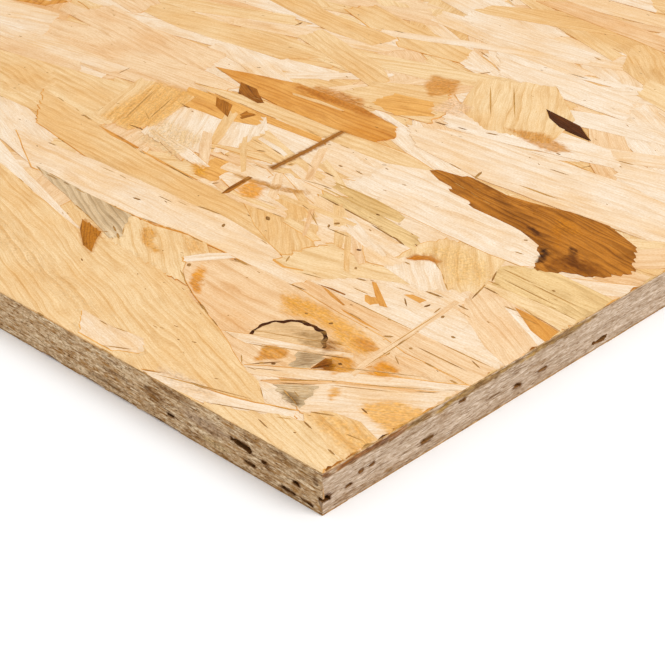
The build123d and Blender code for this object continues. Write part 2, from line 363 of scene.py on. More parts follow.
TORN_DEPTH = (0.5, 2.0)
TORN_TONE = (0, 0.7)
# Those fibres, rusty ones and then tan ones: woods, usual depth, added tone, and the gap to the next
RUSTY_TORN = (("brown", "brown", "bark"), 1.1, 0.2, (-2, 3, 0))
TAN_TORN = (("brown", "olive", "ochre"), 0.6, 0, (0, 22, 4))

# Soft-edged stains over those strands: colour, strength, width of the soft edge in millimetres, and corners
CORNER_STAINS = [
    ("#DB9540", 0.70, 3.0, [(-238, 238), (-206, 241), (-198, 228), (-230, 225)]),
    ("#FBD9B4", 0.80, 3.0, [(-178, 272), (-162, 270), (-160, 256), (-176, 252)]),
    ("#F6B74E", 0.78, 4.5, [(-98, 78), (-85, 81.5), (-65, 80), (-50, 77), (-41, 72), (-42, 64), (-50, 62),
                            (-58, 65), (-66, 69), (-80, 68), (-86, 66), (-92, 70)]),
    ("#E0982E", 0.25, 3.0, [(-98, 76), (-90, 79), (-78, 76), (-80, 71), (-90, 71)]),
    ("#D2994E", 0.85, 1.8, [(-196, 137.4), (-180, 141.6), (-165, 144.8), (-153, 149.4), (-152, 146),
                            (-163, 140.6), (-179, 137.2)]),
    ("#A87030", 0.75, 1.4, [(-190, 206), (-186, 206), (-182.6, 180), (-180.6, 152.6), (-185, 153),
                            (-187.4, 180)]),
    ("#E29418", 0.85, 2.2, [(-53, 73), (-46, 74), (-40, 71.6), (-44, 68.6), (-51, 69.6)]),
    ("#F0A21C", 0.92, 1.8, [(-35, 68), (-25, 66.5), (-23.6, 59), (-33.8, 56.6)]),
    ("#E6A036", 0.90, 1.4, [(-74.4, 45.5), (-66.6, 48.8), (-61.8, 45), (-62.4, 41), (-68.4, 34), (-71, 38)]),
    ("#ECA630", 0.88, 2.0, [(-52, 57), (-44, 60.5), (-37, 55), (-42, 46)]),
    ("#A8845A", 0.55, 1.8, [(-61, 51.4), (-53, 55.8), (-50.4, 45), (-57, 41)]),
    ("#8A4A0C", 0.70, 1.6, [(-50.8, 54.4), (-46.2, 53.4), (-42, 48.8), (-49.6, 44)]),
    ("#B8925E", 0.70, 3.0, [(-74, 60), (-66, 66), (-56, 60), (-60, 53), (-68, 55)]),
    ("#9A6018", 0.70, 1.6, [(-58, 66), (-52, 61), (-52, 56), (-56, 57), (-60, 62)]),
    ("#D4B07C", 0.50, 1.8, [(-51, 28), (-45, 33.6), (-39, 37.5), (-35.6, 31), (-34.4, 22.5), (-44, 25)]),
    ("#8A6A40", 0.80, 1.4, [(-46.5, 26.6), (-40, 27.6), (-34.6, 23.6), (-41, 23.8)]),
    ("#F0B254", 0.80, 2.0, [(-37, 44), (-31, 43), (-28.4, 33), (-33, 36)]),
    ("#FAC268", 0.90, 2.6, [(-20, 40), (-14.6, 47.6), (-9, 51.6), (2, 53), (2, 32.6), (-10, 34.6),
                            (-17.6, 36.6)]),
    ("#F9C678", 0.66, 3.0, [(-30, 22), (-22, 29), (-12, 31), (2, 27), (2, 13), (-14, 17), (-26, 19)]),
    ("#F0A428", 0.95, 2.6, [(-139, 70.6), (-133, 69), (-127, 60), (-120.6, 53.8), (-127, 54.6),
                            (-134.6, 62)]),
    ("#DC8C10", 0.85, 2.0, [(-132.6, 61.6), (-128, 61), (-122, 54), (-127, 54.4)]),
    ("#EAAE56", 0.90, 2.4, [(-182, 79.5), (-174, 77.5), (-167, 70.5), (-157, 66), (-161, 63.6),
                            (-172, 67.5), (-178.6, 73)]),
    ("#F3C07A", 0.70, 3.0, [(-166, 84), (-152, 84), (-143, 78), (-150, 73), (-158, 78)]),
    ("#CC8424", 0.85, 1.8, [(-205, 64), (-190, 62), (-183.6, 53.4), (-177.6, 46), (-186, 47.4),
                            (-198, 55.4)]),
    ("#F4A826", 0.90, 3.0, [(-181, 138.6), (-169.6, 137.6), (-165.6, 128), (-172, 124.4), (-180, 128.6)]),
    ("#F0AE3C", 0.88, 2.6, [(-214, 133), (-207, 136), (-199, 128), (-201, 125), (-208, 128)]),
    ("#CC7C1C", 0.85, 1.6, [(-82.6, 131.6), (-81, 138), (-76, 141.6), (-69.6, 140.4), (-70, 137.6),
                            (-75, 137.4), (-78.2, 133.6)]),
    ("#F9D290", 0.65, 4.5, [(-83, 140), (-81, 152), (-70, 157), (-56, 153), (-47, 146), (-45, 136),
                            (-56, 128), (-66, 137), (-74, 142)]),
    ("#3E1F09", 0.95, 1.4, [(-49, 181), (-45, 179), (-39.6, 170), (-41.4, 166), (-45, 173)]),
    ("#5C3110", 0.85, 1.2, [(-69, 191.4), (-60, 190.6), (-51, 184), (-56, 184.2), (-62, 187.6)]),
    ("#5C3110", 0.85, 1.5, [(-42, 189), (-36, 187), (-27, 175), (-31, 175.6), (-37, 182)]),
    ("#8E4E0A", 0.40, 2.4, [(-120, 206), (-104, 207.4), (-84, 206.4), (-66, 211), (-66, 202), (-84, 201),
                            (-106, 202)]),
    ("#8A4C0C", 0.55, 3.0, [(-40, 178), (-28, 184), (-14, 182), (-20, 172), (-34, 165), (-40, 167)]),
    ("#D68A24", 0.80, 3.0, [(-62, 207), (-52, 206), (-42, 198), (-54, 195)]),
    ("#CE8220", 0.80, 2.6, [(-58, 196), (-48, 187), (-40, 177), (-45, 188), (-53, 196)]),
    ("#D28C34", 0.40, 2.0, [(-131, 203), (-122, 206), (-116, 205), (-120, 199), (-127, 200)]),
    ("#F8C474", 0.80, 4.0, [(-298, 186), (-268, 187), (-256, 150), (-262, 136), (-284, 138)]),
    ("#F8DAAC", 0.70, 4.0, [(-258, 158), (-228, 156), (-222, 132), (-252, 131)]),
    ("#C87C24", 0.75, 2.5, [(-246, 232), (-200, 232), (-170, 228), (-200, 226), (-240, 226)]),
    ("#E2A048", 0.90, 2.4, [(-204, 287), (-188, 290), (-180, 276), (-186, 264), (-198, 274)]),
    ("#DFA04C", 0.90, 3.0, [(-136, 262), (-118, 270), (-96, 262), (-104, 255), (-122, 257)]),
    ("#F7D7A6", 0.45, 5.0, [(-240, 44), (-190, 34), (-150, 22), (-120, 18), (-150, 12), (-240, 26)]),
    ("#FBE2C2", 0.80, 3.0, [(-92, 8), (-70, 10), (-56, 8), (-68, 2), (-88, 2)]),
]

# Hairline cracks and pits seen there, their dull brown a painted shade: the middle in millimetres from the
# corner, length, width, direction in degrees, and darkness
CORNER_CRACKS = [
    (-281, 160, 40, 1.0, -64, -0.60), (-270, 164, 30, 0.9, -66, -0.70), (-152, 288, 40, 0.8, -50, -0.80),
    (-162, 282, 36, 0.9, -50, -0.80), (-128, 147.2, 46, 1.1, -6, 0.15), (-44, 26.6, 6, 0.8, -18, 0.20),
    (-40, 25.4, 5, 0.7, -20, 0.30), (-41, 28.6, 5, 0.5, -20, 0.00), (-37.4, 24.4, 4, 0.7, -24, 0.20),
    (-104, 143.3, 20, 1.1, -9, 0.30), (-94.6, 141.8, 10, 1.2, -17, 0.60), (-64.5, 35.8, 13, 1.0, 52, 0.55),
    (-45, 81.4, 4.4, 1.5, 40, 0.45), (-6, 74.2, 4.4, 1.1, 0, 0.55), (-16, 37.6, 4.4, 0.9, -14, 0.35),
    (-24, 17.2, 6, 0.9, -14, 0.50), (-6.5, 11, 5, 0.9, -12, 0.40), (-36, 7, 8, 0.6, -14, 0.25),
    (-48, 35.5, 22, 0.5, 42, -0.30), (-20, 56, 36, 0.5, 37, -0.30), (-30, 60.5, 40, 0.5, 32, -0.50),
    (-70, 56.4, 44, 0.6, 26, -0.50), (-66, 48.6, 38, 0.5, 26, -0.40), (-41.4, 92, 40, 0.6, 95, -0.50),
    (-37.8, 76, 40, 0.6, 95, -0.50), (-70, 8.4, 44, 0.8, 19, -0.50), (-112, 5, 12, 0.8, 30, 0.25),
    (-54, 118, 9, 1.4, 8, 0.25), (-50, 109.4, 3.6, 1.4, 85, 0.50), (-44.8, 109.4, 5.6, 0.8, 102, 0.45),
    (-40, 107, 2.4, 1.5, 120, 0.60), (-39, 118, 6, 1.0, 0, 0.35), (-27, 98.2, 2.4, 1.4, 0, 0.10),
    (-53, 91.2, 2.6, 0.9, 20, 0.25), (-83, 106.8, 5, 1.2, 20, 0.35), (-101, 124.4, 2.6, 1.6, 30, 0.60),
    (-124.2, 135.4, 3, 2.2, 70, 0.60), (-125, 131.2, 3.6, 1.1, -50, 0.35), (-118, 129.7, 13, 0.8, 3, 0.20),
    (-79, 129.8, 3.6, 1.0, 0, 0.30), (-148.6, 118.2, 4.4, 2.0, -30, 0.45),
    (-157.4, 100.6, 3.6, 1.6, -50, 0.35), (-203, 91.6, 5, 1.4, 10, 0.05), (-172, 106.2, 14, 1.1, 6, 0.20),
    (-141.6, 67, 3.2, 1.8, -40, 0.60), (-97, 84.6, 10, 0.8, 6, 0.15), (-128, 83.4, 9, 1.2, -2, 0.20),
    (-182, 63.4, 6, 1.1, -30, 0.35), (-188, 66.6, 6, 0.9, -26, 0.20), (-162.6, 177.4, 3, 1.2, 0, 0.45),
    (-152, 178.4, 6, 0.8, -10, 0.35), (-160, 167.6, 8, 0.8, -4, 0.30), (-180, 163, 3, 1.0, 70, 0.40),
    (-194, 168, 9, 0.8, -10, 0.35), (-200, 163.6, 5, 1.2, 30, 0.50), (-152, 157.4, 7, 0.8, 5, 0.35),
    (-190, 126, 4, 1.0, 60, 0.40), (-211, 122.8, 24, 0.9, -6, 0.15), (-57.2, 179.2, 2.2, 1.2, 40, 0.30),
    (-46.4, 145.6, 10, 0.9, -62, 0.15), (-42.8, 131.6, 14, 0.9, -74, 0.10),
    (-116.6, 98.6, 6, 0.9, -60, 0.15), (-58, 105.6, 7, 0.7, -40, 0.20), (-117.4, 153.5, 2.6, 1.3, 0, 0.50),
    (-161, 244.6, 8, 1.2, 8, 0.40), (-150, 247, 6, 1.1, 10, 0.40), (-136, 252, 7, 1.4, 20, 0.50),
    (-100, 256, 3, 1.2, 0, 0.50), (-262, 141, 9, 0.9, 8, 0.35), (-88, 241, 12, 0.8, 5, 0.30),
    (-82, 218.6, 22, 1.4, 3, 0.05), (-112, 213.6, 8, 1.6, -72, 0.00), (-67.4, 73.4, 2.2, 1.5, 80, 0.30),
    (-79.6, 72.2, 1.8, 1.2, 0, 0.20), (-44.2, 54.4, 2, 1.6, 0, 0.35), (-33, 80.8, 1.8, 1.4, 0, 0.25),
    (-91.2, 112.2, 2.2, 1.2, -40, 0.30), (-62, 37.4, 2, 1.6, 60, 0.60), (-65.6, 34.8, 2, 1.6, 60, 0.50),
    (-40, 136, 9, 1.0, -4, 0.20), (-25, 130.2, 7, 0.8, 3, 0.20), (-28, 145.4, 30, 0.8, -4, 0.00),
    (-20, 150.4, 26, 0.8, -4, 0.00), (-40, 152.6, 18, 0.8, -3, 0.00), (-22, 153, 2, 1.2, 0, 0.25),
    (-60, 91.5, 44, 0.7, 0, 0.00), (-15, 91.4, 28, 0.7, 1, 0.00), (-20, 83.2, 26, 0.8, 0, 0.00),
    (-50, 7.6, 26, 0.6, 27, 0.10), (-25.6, 25.8, 10, 1.0, 29, 0.10), (-38.4, 81.6, 6, 1.0, 100, 0.15),
    (-46, 33.6, 16, 0.7, 39, 0.15), (-27, 47.6, 26, 0.6, 33, 0.00), (-8, 62.4, 10, 0.7, 38, 0.15),
    (-50, 56.4, 13, 0.8, 29, 0.35), (-74, 43.4, 14, 0.6, 24, 0.15), (-61, 33, 13, 0.6, 34, 0.10),
    (-46.6, 50, 2.4, 1.2, 40, 0.90), (-48.4, 47.6, 2, 1.0, 80, 0.90), (-36.4, 72, 3, 1.0, 100, 0.15),
    (-8, 89, 7, 0.7, -20, 0.05), (-52, 168.4, 5, 0.9, 10, 0.00),
]

# Stains on the two sawn edges beside that corner: colour, strength, width of the soft edge, from and to in
# millimetres from the corner, and from and to in millimetres below the top face. The dark brown ones that lie
# over the gaps widen the gaps' painted shade
LONG_EDGE_STAINS = [
    ("#9C7440", 0.50, 2.5, -2, 30, 0.5, 6.0), ("#70481F", 0.85, 1.0, 2, 5, 3.0, 7.2),
    ("#7A5024", 0.80, 1.0, 8.5, 12.5, 6.2, 7.8), ("#5E3513", 0.90, 0.8, 10, 14, 9.4, 12.2),
    ("#7A5024", 0.80, 1.0, 24.5, 28, 9.6, 13.2), ("#5E3513", 0.85, 0.8, 26.5, 30, 8.4, 10.4),
    ("#5E3513", 0.90, 0.8, 12.5, 20, 14.6, 16.6), ("#5E3513", 0.85, 0.7, 4, 8, 15.4, 16.8),
    ("#7A4E20", 0.90, 0.9, 32, 39, 12.6, 14.6), ("#93693A", 0.70, 1.6, 62, 88, 0.6, 4.2),
    ("#D9BD8E", 0.70, 2.0, 44, 62, 11.6, 16.0), ("#8C6233", 0.75, 1.4, 58, 72, 14.2, 16.4),
    ("#8C6233", 0.75, 1.6, 79, 94, 5.0, 11.0), ("#6B4520", 0.85, 0.8, 87, 92, 5.4, 7.0),
    ("#63401C", 0.85, 0.8, 75.5, 80, 10.8, 13.0), ("#8C6233", 0.70, 1.4, 97, 120, 7.0, 9.4),
    ("#8C6233", 0.70, 1.4, 36, 39, 0.0, 5.0), ("#7F5A30", 0.70, 1.2, 100, 128, 13.0, 15.4),
    ("#C8AE93", 0.70, 2.5, 44, 76, 4.5, 11.0), ("#7A5024", 0.75, 1.0, 15, 24, 1.6, 3.0),
    ("#8C6233", 0.75, 1.2, 52, 60, 8.6, 10.0), ("#7A5024", 0.75, 1.0, 104, 118, 2.4, 3.8),
]
SHORT_EDGE_STAINS = [
    ("#B08C54", 0.50, 1.2, -6, 24, 0.7, 3.4), ("#B08C54", 0.50, 1.2, 16, 46, 0.7, 4.2),
    ("#B08C54", 0.50, 1.2, 36, 70, 0.7, 4.4), ("#B08C54", 0.50, 1.2, 62, 104, 0.7, 4.0),
    ("#B08C54", 0.50, 1.2, 96, 156, 0.7, 3.6), ("#7A4818", 0.85, 1.1, 22, 41, 0.8, 3.6),
    ("#6F4216", 0.90, 0.9, 11.5, 18, 1.4, 3.4), ("#7A5024", 0.85, 0.9, 49.5, 55, 0.8, 3.6),
    ("#8C6637", 0.80, 0.9, 60, 97, 1.2, 3.2), ("#8C6637", 0.80, 1.0, 110, 150, 0.8, 2.8),
    ("#4E2B10", 0.95, 0.8, -1, 4.4, 9.2, 12.4), ("#6B4822", 0.85, 0.7, 11.6, 14.8, 10.9, 12.3),
    ("#6B4822", 0.90, 0.7, 17.6, 20.6, 7.8, 9.4), ("#6B4822", 0.90, 0.7, 23, 26.2, 7.8, 9.2),
    ("#77542C", 0.80, 0.8, 27.6, 31, 10.6, 12.2), ("#7A5830", 0.85, 0.8, 49.6, 58, 11.0, 13.8),
    ("#85633A", 0.75, 0.9, 31.4, 35, 14.2, 16.2), ("#77542C", 0.80, 0.7, 69.6, 75, 3.8, 5.4),
    ("#7F5D36", 0.80, 0.6, 85, 97, 10.2, 11.6), ("#77542C", 0.80, 0.9, 101, 106, 5.0, 7.4),
    ("#6B4822", 0.85, 0.9, 101.6, 107, 11.4, 14.2), ("#6B4822", 0.80, 0.7, 116, 122.6, 11.2, 12.8),
    ("#A07C54", 0.50, 1.8, -4, 62, 13.0, 18.4), ("#A07C54", 0.45, 1.8, 56, 150, 14.0, 18.6),
    ("#B4977A", 0.60, 1.4, 56, 70, 4.0, 10.0), ("#9C7A52", 0.65, 1.0, 104, 130, 7.6, 9.6),
]

# Woods of a face, with their share of its strands and the usual spacing of their growth rings
FACE_WOODS = [("cream", 0.40, 4.0), ("yellow", 0.31, 3.2), ("peach", 0.18, 3.6), ("ochre", 0.06, 2.8),
              ("olive", 0.022, 2.4), ("grey", 0.012, 2.4), ("brown", 0.016, 2.4)]
PALE_WOODS = FACE_WOODS[:3]  # random strands near the photographed corner are of these


def outline_measures(outline):
    """Rough width of an outline, and its area, which is negative if it runs clockwise."""
    pairs = list(zip(outline, outline[1:] + outline[:1]))
    area = sum(a.real * b.imag - b.real * a.imag for a, b in pairs) / 2
    girth = sum(abs(b - a) for a, b in pairs)
    return 2 * abs(area) / girth, area


def ragged(outline, grain, detail, rng):
    """The outline, anticlockwise, with fibre-torn ends and slightly wavy sides."""
    width, area = outline_measures(outline)
    if area < 0:
        outline = outline[::-1]
    fibre = cmath.rect(1, math.radians(grain))
    torn_stray = min(TORN_STRAY, 0.3 * width)
    side_stray = min(SIDE_STRAY, 0.12 * width)
    torn = []
    for a, b in zip(outline, outline[1:] + outline[:1]):
        run = b - a
        is_end = abs((run / abs(run) / fibre).imag) > 0.5
        step = (TORN_STEP if is_end else SIDE_STEP)[detail]
        count = max(1, round(abs(run) / step))
        torn.append(a)
        for number in range(1, count):
            point = a + run * (number + rng.uniform(-0.3, 0.3)) / count
            if is_end:
                stray = fibre * rng.uniform(-torn_stray, torn_stray)
            else:
                stray = fibre * 1j * rng.uniform(-side_stray, side_stray)
            torn.append(point + stray)
    return torn


def tapered_flake(middle, length, width, turn, rng):
    """Tapered flake with skewed ends and slightly bowed sides, turned by an angle in degrees."""
    first, last = width * rng.uniform(0.55, 1), width * rng.uniform(0.55, 1)
    skew_first, skew_last = first * rng.uniform(-0.5, 0.5), last * rng.uniform(-0.5, 0.5)
    half, bow = length / 2, width * rng.uniform(-0.3, 0.3)
    corners = [
        complex(-half - skew_first, -first / 2),
        complex(half * rng.uniform(-0.4, 0.4), bow - width * rng.uniform(0.4, 0.6)),
        complex(half - skew_last, -last / 2),
        complex(half + skew_last, last / 2),
        complex(half * rng.uniform(-0.4, 0.4), bow + width * rng.uniform(0.4, 0.6)),
        complex(-half + skew_first, first / 2),
    ]
    way = cmath.rect(1, math.radians(turn))
    return [middle + corner * way for corner in corners]


def face_strand(seed_point, near, small, rng):
    """A random strand of a face that covers the point it is asked for."""
    if small:
        turn = rng.gauss(0, SMALL_SPREAD)
        length, width = rng.triangular(*SMALL_LENGTH), rng.triangular(*SMALL_WIDTH)
    else:
        is_longways = rng.random() < LONGWAYS_SHARE
        turn = rng.gauss(0, STRAND_SPREAD) if is_longways else rng.uniform(-CROSS_TURN, CROSS_TURN)
        length, width = rng.triangular(*STRAND_LENGTH), rng.triangular(*STRAND_WIDTH)
    middle = seed_point + cmath.rect(length * rng.uniform(-0.4, 0.4), math.radians(turn))
    choice = PALE_WOODS if near else FACE_WOODS
    wood, _, pitch = rng.choices(choice, weights=[share for _, share, _ in choice])[0]
    outline = ragged(tapered_flake(middle, length, width, turn, rng), turn, "fine" if near else "coarse", rng)
    tone = min(1, max(0, rng.gauss(*STRAND_TONE)))
    return Strand(outline, wood, turn + rng.gauss(0, GRAIN_SPREAD), pitch * rng.uniform(0.7, 1.5), tone, 0)


def lens(middle, length, width, turn):
    """Slim pointed outline, turned by an angle in degrees."""
    corners = [(-0.5, 0), (-0.2, -0.42), (0.22, -0.5), (0.5, 0.05), (0.18, 0.42), (-0.25, 0.5)]
    way = cmath.rect(1, math.radians(turn))
    return [middle + complex(x * length, y * width) * way for x, y in corners]


def crack(middle, length, width, turn, dark):
    """A hairline between strands, its dull brown a painted shade; the darker it is, the deeper it lies, and
    below 0 it is only faint.
    """
    depth = CRACK_DEPTH * (0.6 + 0.4 * dark)
    return Strand(lens(middle, length, width, turn), "crack", turn, 1.0, dark, -depth)


def distances(outline, x, y):
    """Distance of each place from an outline, positive inside it."""
    inside = np.zeros(x.shape, bool)
    nearest = np.full(x.shape, np.inf)
    for a, b in zip(outline, outline[1:] + outline[:1]):
        run = b - a
        share = ((x - a.real) * run.real + (y - a.imag) * run.imag) / abs(run) ** 2
        share = np.clip(share, 0, 1)
        away = np.hypot(x - a.real - share * run.real, y - a.imag - share * run.imag)
        nearest = np.minimum(nearest, away)
        if run.imag:
            crosses = (a.imag > y) != (b.imag > y)
            inside ^= crosses & (x < a.real + (y - a.imag) * run.real / run.imag)
    return np.where(inside, nearest, -nearest)


def cells_inside(outline, cell, shape):
    """Slices of the grid around an outline, and which of their cells lie in it."""
    west, east = min(p.real for p in outline), max(p.real for p in outline)
    south, north = min(p.imag for p in outline), max(p.imag for p in outline)
    i0, i1 = max(0, int(west // cell)), min(shape[0], int(east // cell) + 1)
    j0, j1 = max(0, int(south // cell)), min(shape[1], int(north // cell) + 1)
    columns, rows = (np.arange(i0, i1) + 0.5) * cell, (np.arange(j0, j1) + 0.5) * cell
    x, y = np.meshgrid(columns, rows, indexing="ij")
    return (slice(i0, i1), slice(j0, j1)), distances(outline, x, y) > 0


def lay_strands(length, width, cell, on_top, new_strand, shares, rng):
    """Lay random strands from the top down until a side is covered; the list returned is lowest first.

    A strand is kept if at least the given share of it shows; a share of nothing asks for small strands."""
    covered = np.zeros((math.ceil(length / cell), math.ceil(width / cell)), bool)
    for strand in on_top:
        where, inside = cells_inside(strand.outline, cell, covered.shape)
        covered[where] |= inside
    cells = [(i, j) for i in range(covered.shape[0]) for j in range(covered.shape[1])]
    rng.shuffle(cells)
    laid = []
    for share in shares:
        for i, j in cells:
            if covered[i, j]:
                continue
            strand = new_strand(complex((i + 0.5) * cell, (j + 0.5) * cell), share == 0)
            where, inside = cells_inside(strand.outline, cell, covered.shape)
            fresh = inside & ~covered[where]
            if fresh.sum() < share * inside.sum():
                continue
            covered[where] |= inside
            covered[i, j] = True
            laid.append(strand)
    return laid[::-1]


class Lines:
    """The lines of a flat pattern where one strand meets another, with the owner on the left of each."""

    def __init__(self, triangles, owners):
        left = {}
        for (a, b, c), owner in zip(triangles, owners):
            left[a, b] = left[b, c] = left[c, a] = owner
        self.left = {}
        self.next_to = {}
        for (a, b), owner in left.items():
            other = left.get((b, a), -1)
            if other != owner:
                self.join(a, b, owner, other)

    def join(self, a, b, owner, other):
        """Note a line between two points, with the owners on its left and on its right."""
        self.left[a, b] = owner
        self.left[b, a] = other
        self.next_to.setdefault(a, set()).add(b)
        self.next_to.setdefault(b, set()).add(a)

    def straighten(self, points, stray):
        """Take out each point that only lies along a straight line."""
        for middle in list(self.next_to):
            if len(self.next_to[middle]) != 2:
                continue
            a, b = self.next_to[middle]
            if b in self.next_to[a]:
                continue
            run = points[b] - points[a]
            offset = points[middle] - points[a]
            if abs(run.x * offset.y - run.y * offset.x) > stray * run.length:
                continue
            self.join(a, b, self.left[a, middle], self.left[b, middle])
            for end in (a, b):
                self.next_to[end].discard(middle)
                del self.left[end, middle], self.left[middle, end]
            del self.next_to[middle]


def shown_parts(tile, strands, extra):
    """The parts of a tile's strands that show: flat points, triangles, and the strand that owns each.

    Extra points are worked into the triangles."""
    west, south, east, north = tile
    middle = complex((west + east) / 2, (south + north) / 2)
    corners = [complex(west, south), complex(east, south), complex(east, north), complex(west, north)]
    points, faces = [], []
    for outline in [corners] + [strand.outline for strand in strands]:
        if outline_measures(outline)[1] < 0:
            outline = outline[::-1]
        faces.append(list(range(len(points), len(points) + len(outline))))
        points.extend(Vector(((p - middle).real, (p - middle).imag)) for p in outline)
    flat, _, triangles, _, _, covers = delaunay_2d_cdt(points, [], faces, 1, CLOSE, True)
    inside = [(triangle, max(cover) - 1) for triangle, cover in zip(triangles, covers) if 0 in cover]
    lines = Lines(*zip(*inside))
    lines.straighten(flat, STRAIGHT)

    used = sorted(lines.next_to)
    number = {point: k for k, point in enumerate(used)}
    edges = [(a, b) for a, b in lines.left if a < b]
    numbered = [(number[a], number[b]) for a, b in edges]
    places = [flat[point] for point in used]
    places += [Vector(((p - middle).real, (p - middle).imag)) for p in extra]
    flat2, edges2, triangles2, _, sources, _ = delaunay_2d_cdt(places, numbered, [], 0, CLOSE, True)
    source = {frozenset(edge): ids[0] for edge, ids in zip(edges2, sources) if ids}
    owners = owners_by_line(flat, flat2, triangles2, edges, source, lines.left)
    return [complex(p.x, p.y) + middle for p in flat2], triangles2, owners


def owners_by_line(flat, places, triangles, edges, source, left):
    """Owner of each triangle, read from the lines beside it and passed on to its neighbours."""
    owners = [None] * len(triangles)
    beside = {}
    for k, (a, b, c) in enumerate(triangles):
        for start, end in ((a, b), (b, c), (c, a)):
            beside[start, end] = k
            line = source.get(frozenset((start, end)))
            if line is None:
                continue
            first, last = edges[line]
            same = (places[end] - places[start]).dot(flat[last] - flat[first]) > 0
            owners[k] = left[first, last] if same else left[last, first]
    waiting = [k for k, owner in enumerate(owners) if owner is not None]
    while waiting:
        k = waiting.pop()
        a, b, c = triangles[k]
        for start, end in ((a, b), (b, c), (c, a)):
            other = beside.get((end, start))
            if other is None or owners[other] is not None or frozenset((start, end)) in source:
                continue
            owners[other] = owners[k]
            waiting.append(other)
    return owners


class Relief:
    """Faces of one tile: strands at their own heights with walls between them, on a closed slab."""

    def __init__(self, tile, strands, ground, base, insets, extra):
        self.tile, self.strands, self.ground = tile, strands, ground
        self.points, self.faces, self.owners, self.deepen = [], [], [], []
        self.at = {}
        self.places, triangles, owners = shown_parts(tile, strands, extra)
        left = {}
        for (a, b, c), owner in zip(triangles, owners):
            self.add([self.vertex(p, owner) for p in (a, b, c)], owner)
            left[a, b] = left[b, c] = left[c, a] = owner
        border = {}
        for (a, b), owner in left.items():
            other = left.get((b, a))
            if other is None:
                border[a] = (b, owner)
            elif self.strand(owner).height > self.strand(other).height:
                around = ((a, owner), (a, other), (b, other), (b, owner))
                wall = [self.vertex(place, whose) for place, whose in around]
                # Walls down into a gap take the gap's painted shade
                if self.strand(other).wood == "gap":
                    self.add(wall, other)
                # Other walls are deepened in tone: painted shade along the step, with some real browning of
                # the torn fibres
                else:
                    self.add(wall, owner, WALL_SHADE_AND_TEAR)
        self.close(border, base, insets)

    def strand(self, owner):
        """The strand with an owner's number; the ground's is below 0."""
        return self.strands[owner] if owner >= 0 else self.ground

    def vertex(self, place, owner):
        """Number of the mesh point at a flat place, at the height of a strand."""
        if (place, owner) not in self.at:
            self.at[place, owner] = len(self.points)
            point = self.places[place]
            self.points.append((point.real, point.imag, self.strand(owner).height))
        return self.at[place, owner]

    def add(self, face, owner, deepen=0.0):
        """Add a face of one owner, deepened in tone if asked: the painted shade on a wall."""
        self.faces.append(face)
        self.owners.append(owner)
        self.deepen.append(deepen)

    def close(self, border, base, insets):
        """Close the slab with a side wall along each border of the tile and a flat back."""
        west, south, east, north = self.tile
        corners = [(west, south), (east, south), (east, north), (west, north)]
        backs = []
        for x, y in corners:
            backs.append(len(self.points))
            self.points.append((x + insets[0] if x == west else x - insets[1], y, base))
        nearest = [min(border, key=lambda p: abs(self.places[p] - complex(*corner))) for corner in corners]
        self.skirt_start = len(self.faces)
        for k in range(4):
            place, goal, rim = nearest[k], nearest[(k + 1) % 4], []
            while place != goal:
                following, owner = border[place]
                rim += [self.vertex(place, owner), self.vertex(following, owner)]
                place = following
            rim = list(dict.fromkeys(rim))
            self.add([rim[0], backs[k], backs[(k + 1) % 4]] + rim[:0:-1], SKIRT)
        self.add([backs[0], backs[3], backs[2], backs[1]], SKIRT)


def stain_layer(stains, x, y):
    """Strength of the stains at each place, and their colour times that strength."""
    strength = np.zeros(len(x))
    colour = np.zeros((len(x), 3))
    for stain in stains:
        share = np.clip(distances(stain.outline, x, y) / (2 * stain.soft) + 0.5, 0, 1)
        share = share * share * (3 - 2 * share) * stain.strength
        strength = strength * (1 - share) + share
        colour = colour * (1 - share)[:, None] + np.array(hex_colour(stain.colour)[:3]) * share[:, None]
    return strength, colour


def map_shift(strand):
    """How far a strand's grain map is moved."""
    return abs(strand.outline[0]) * MAP_STRIDE % MAP_SPAN if strand.outline else 0


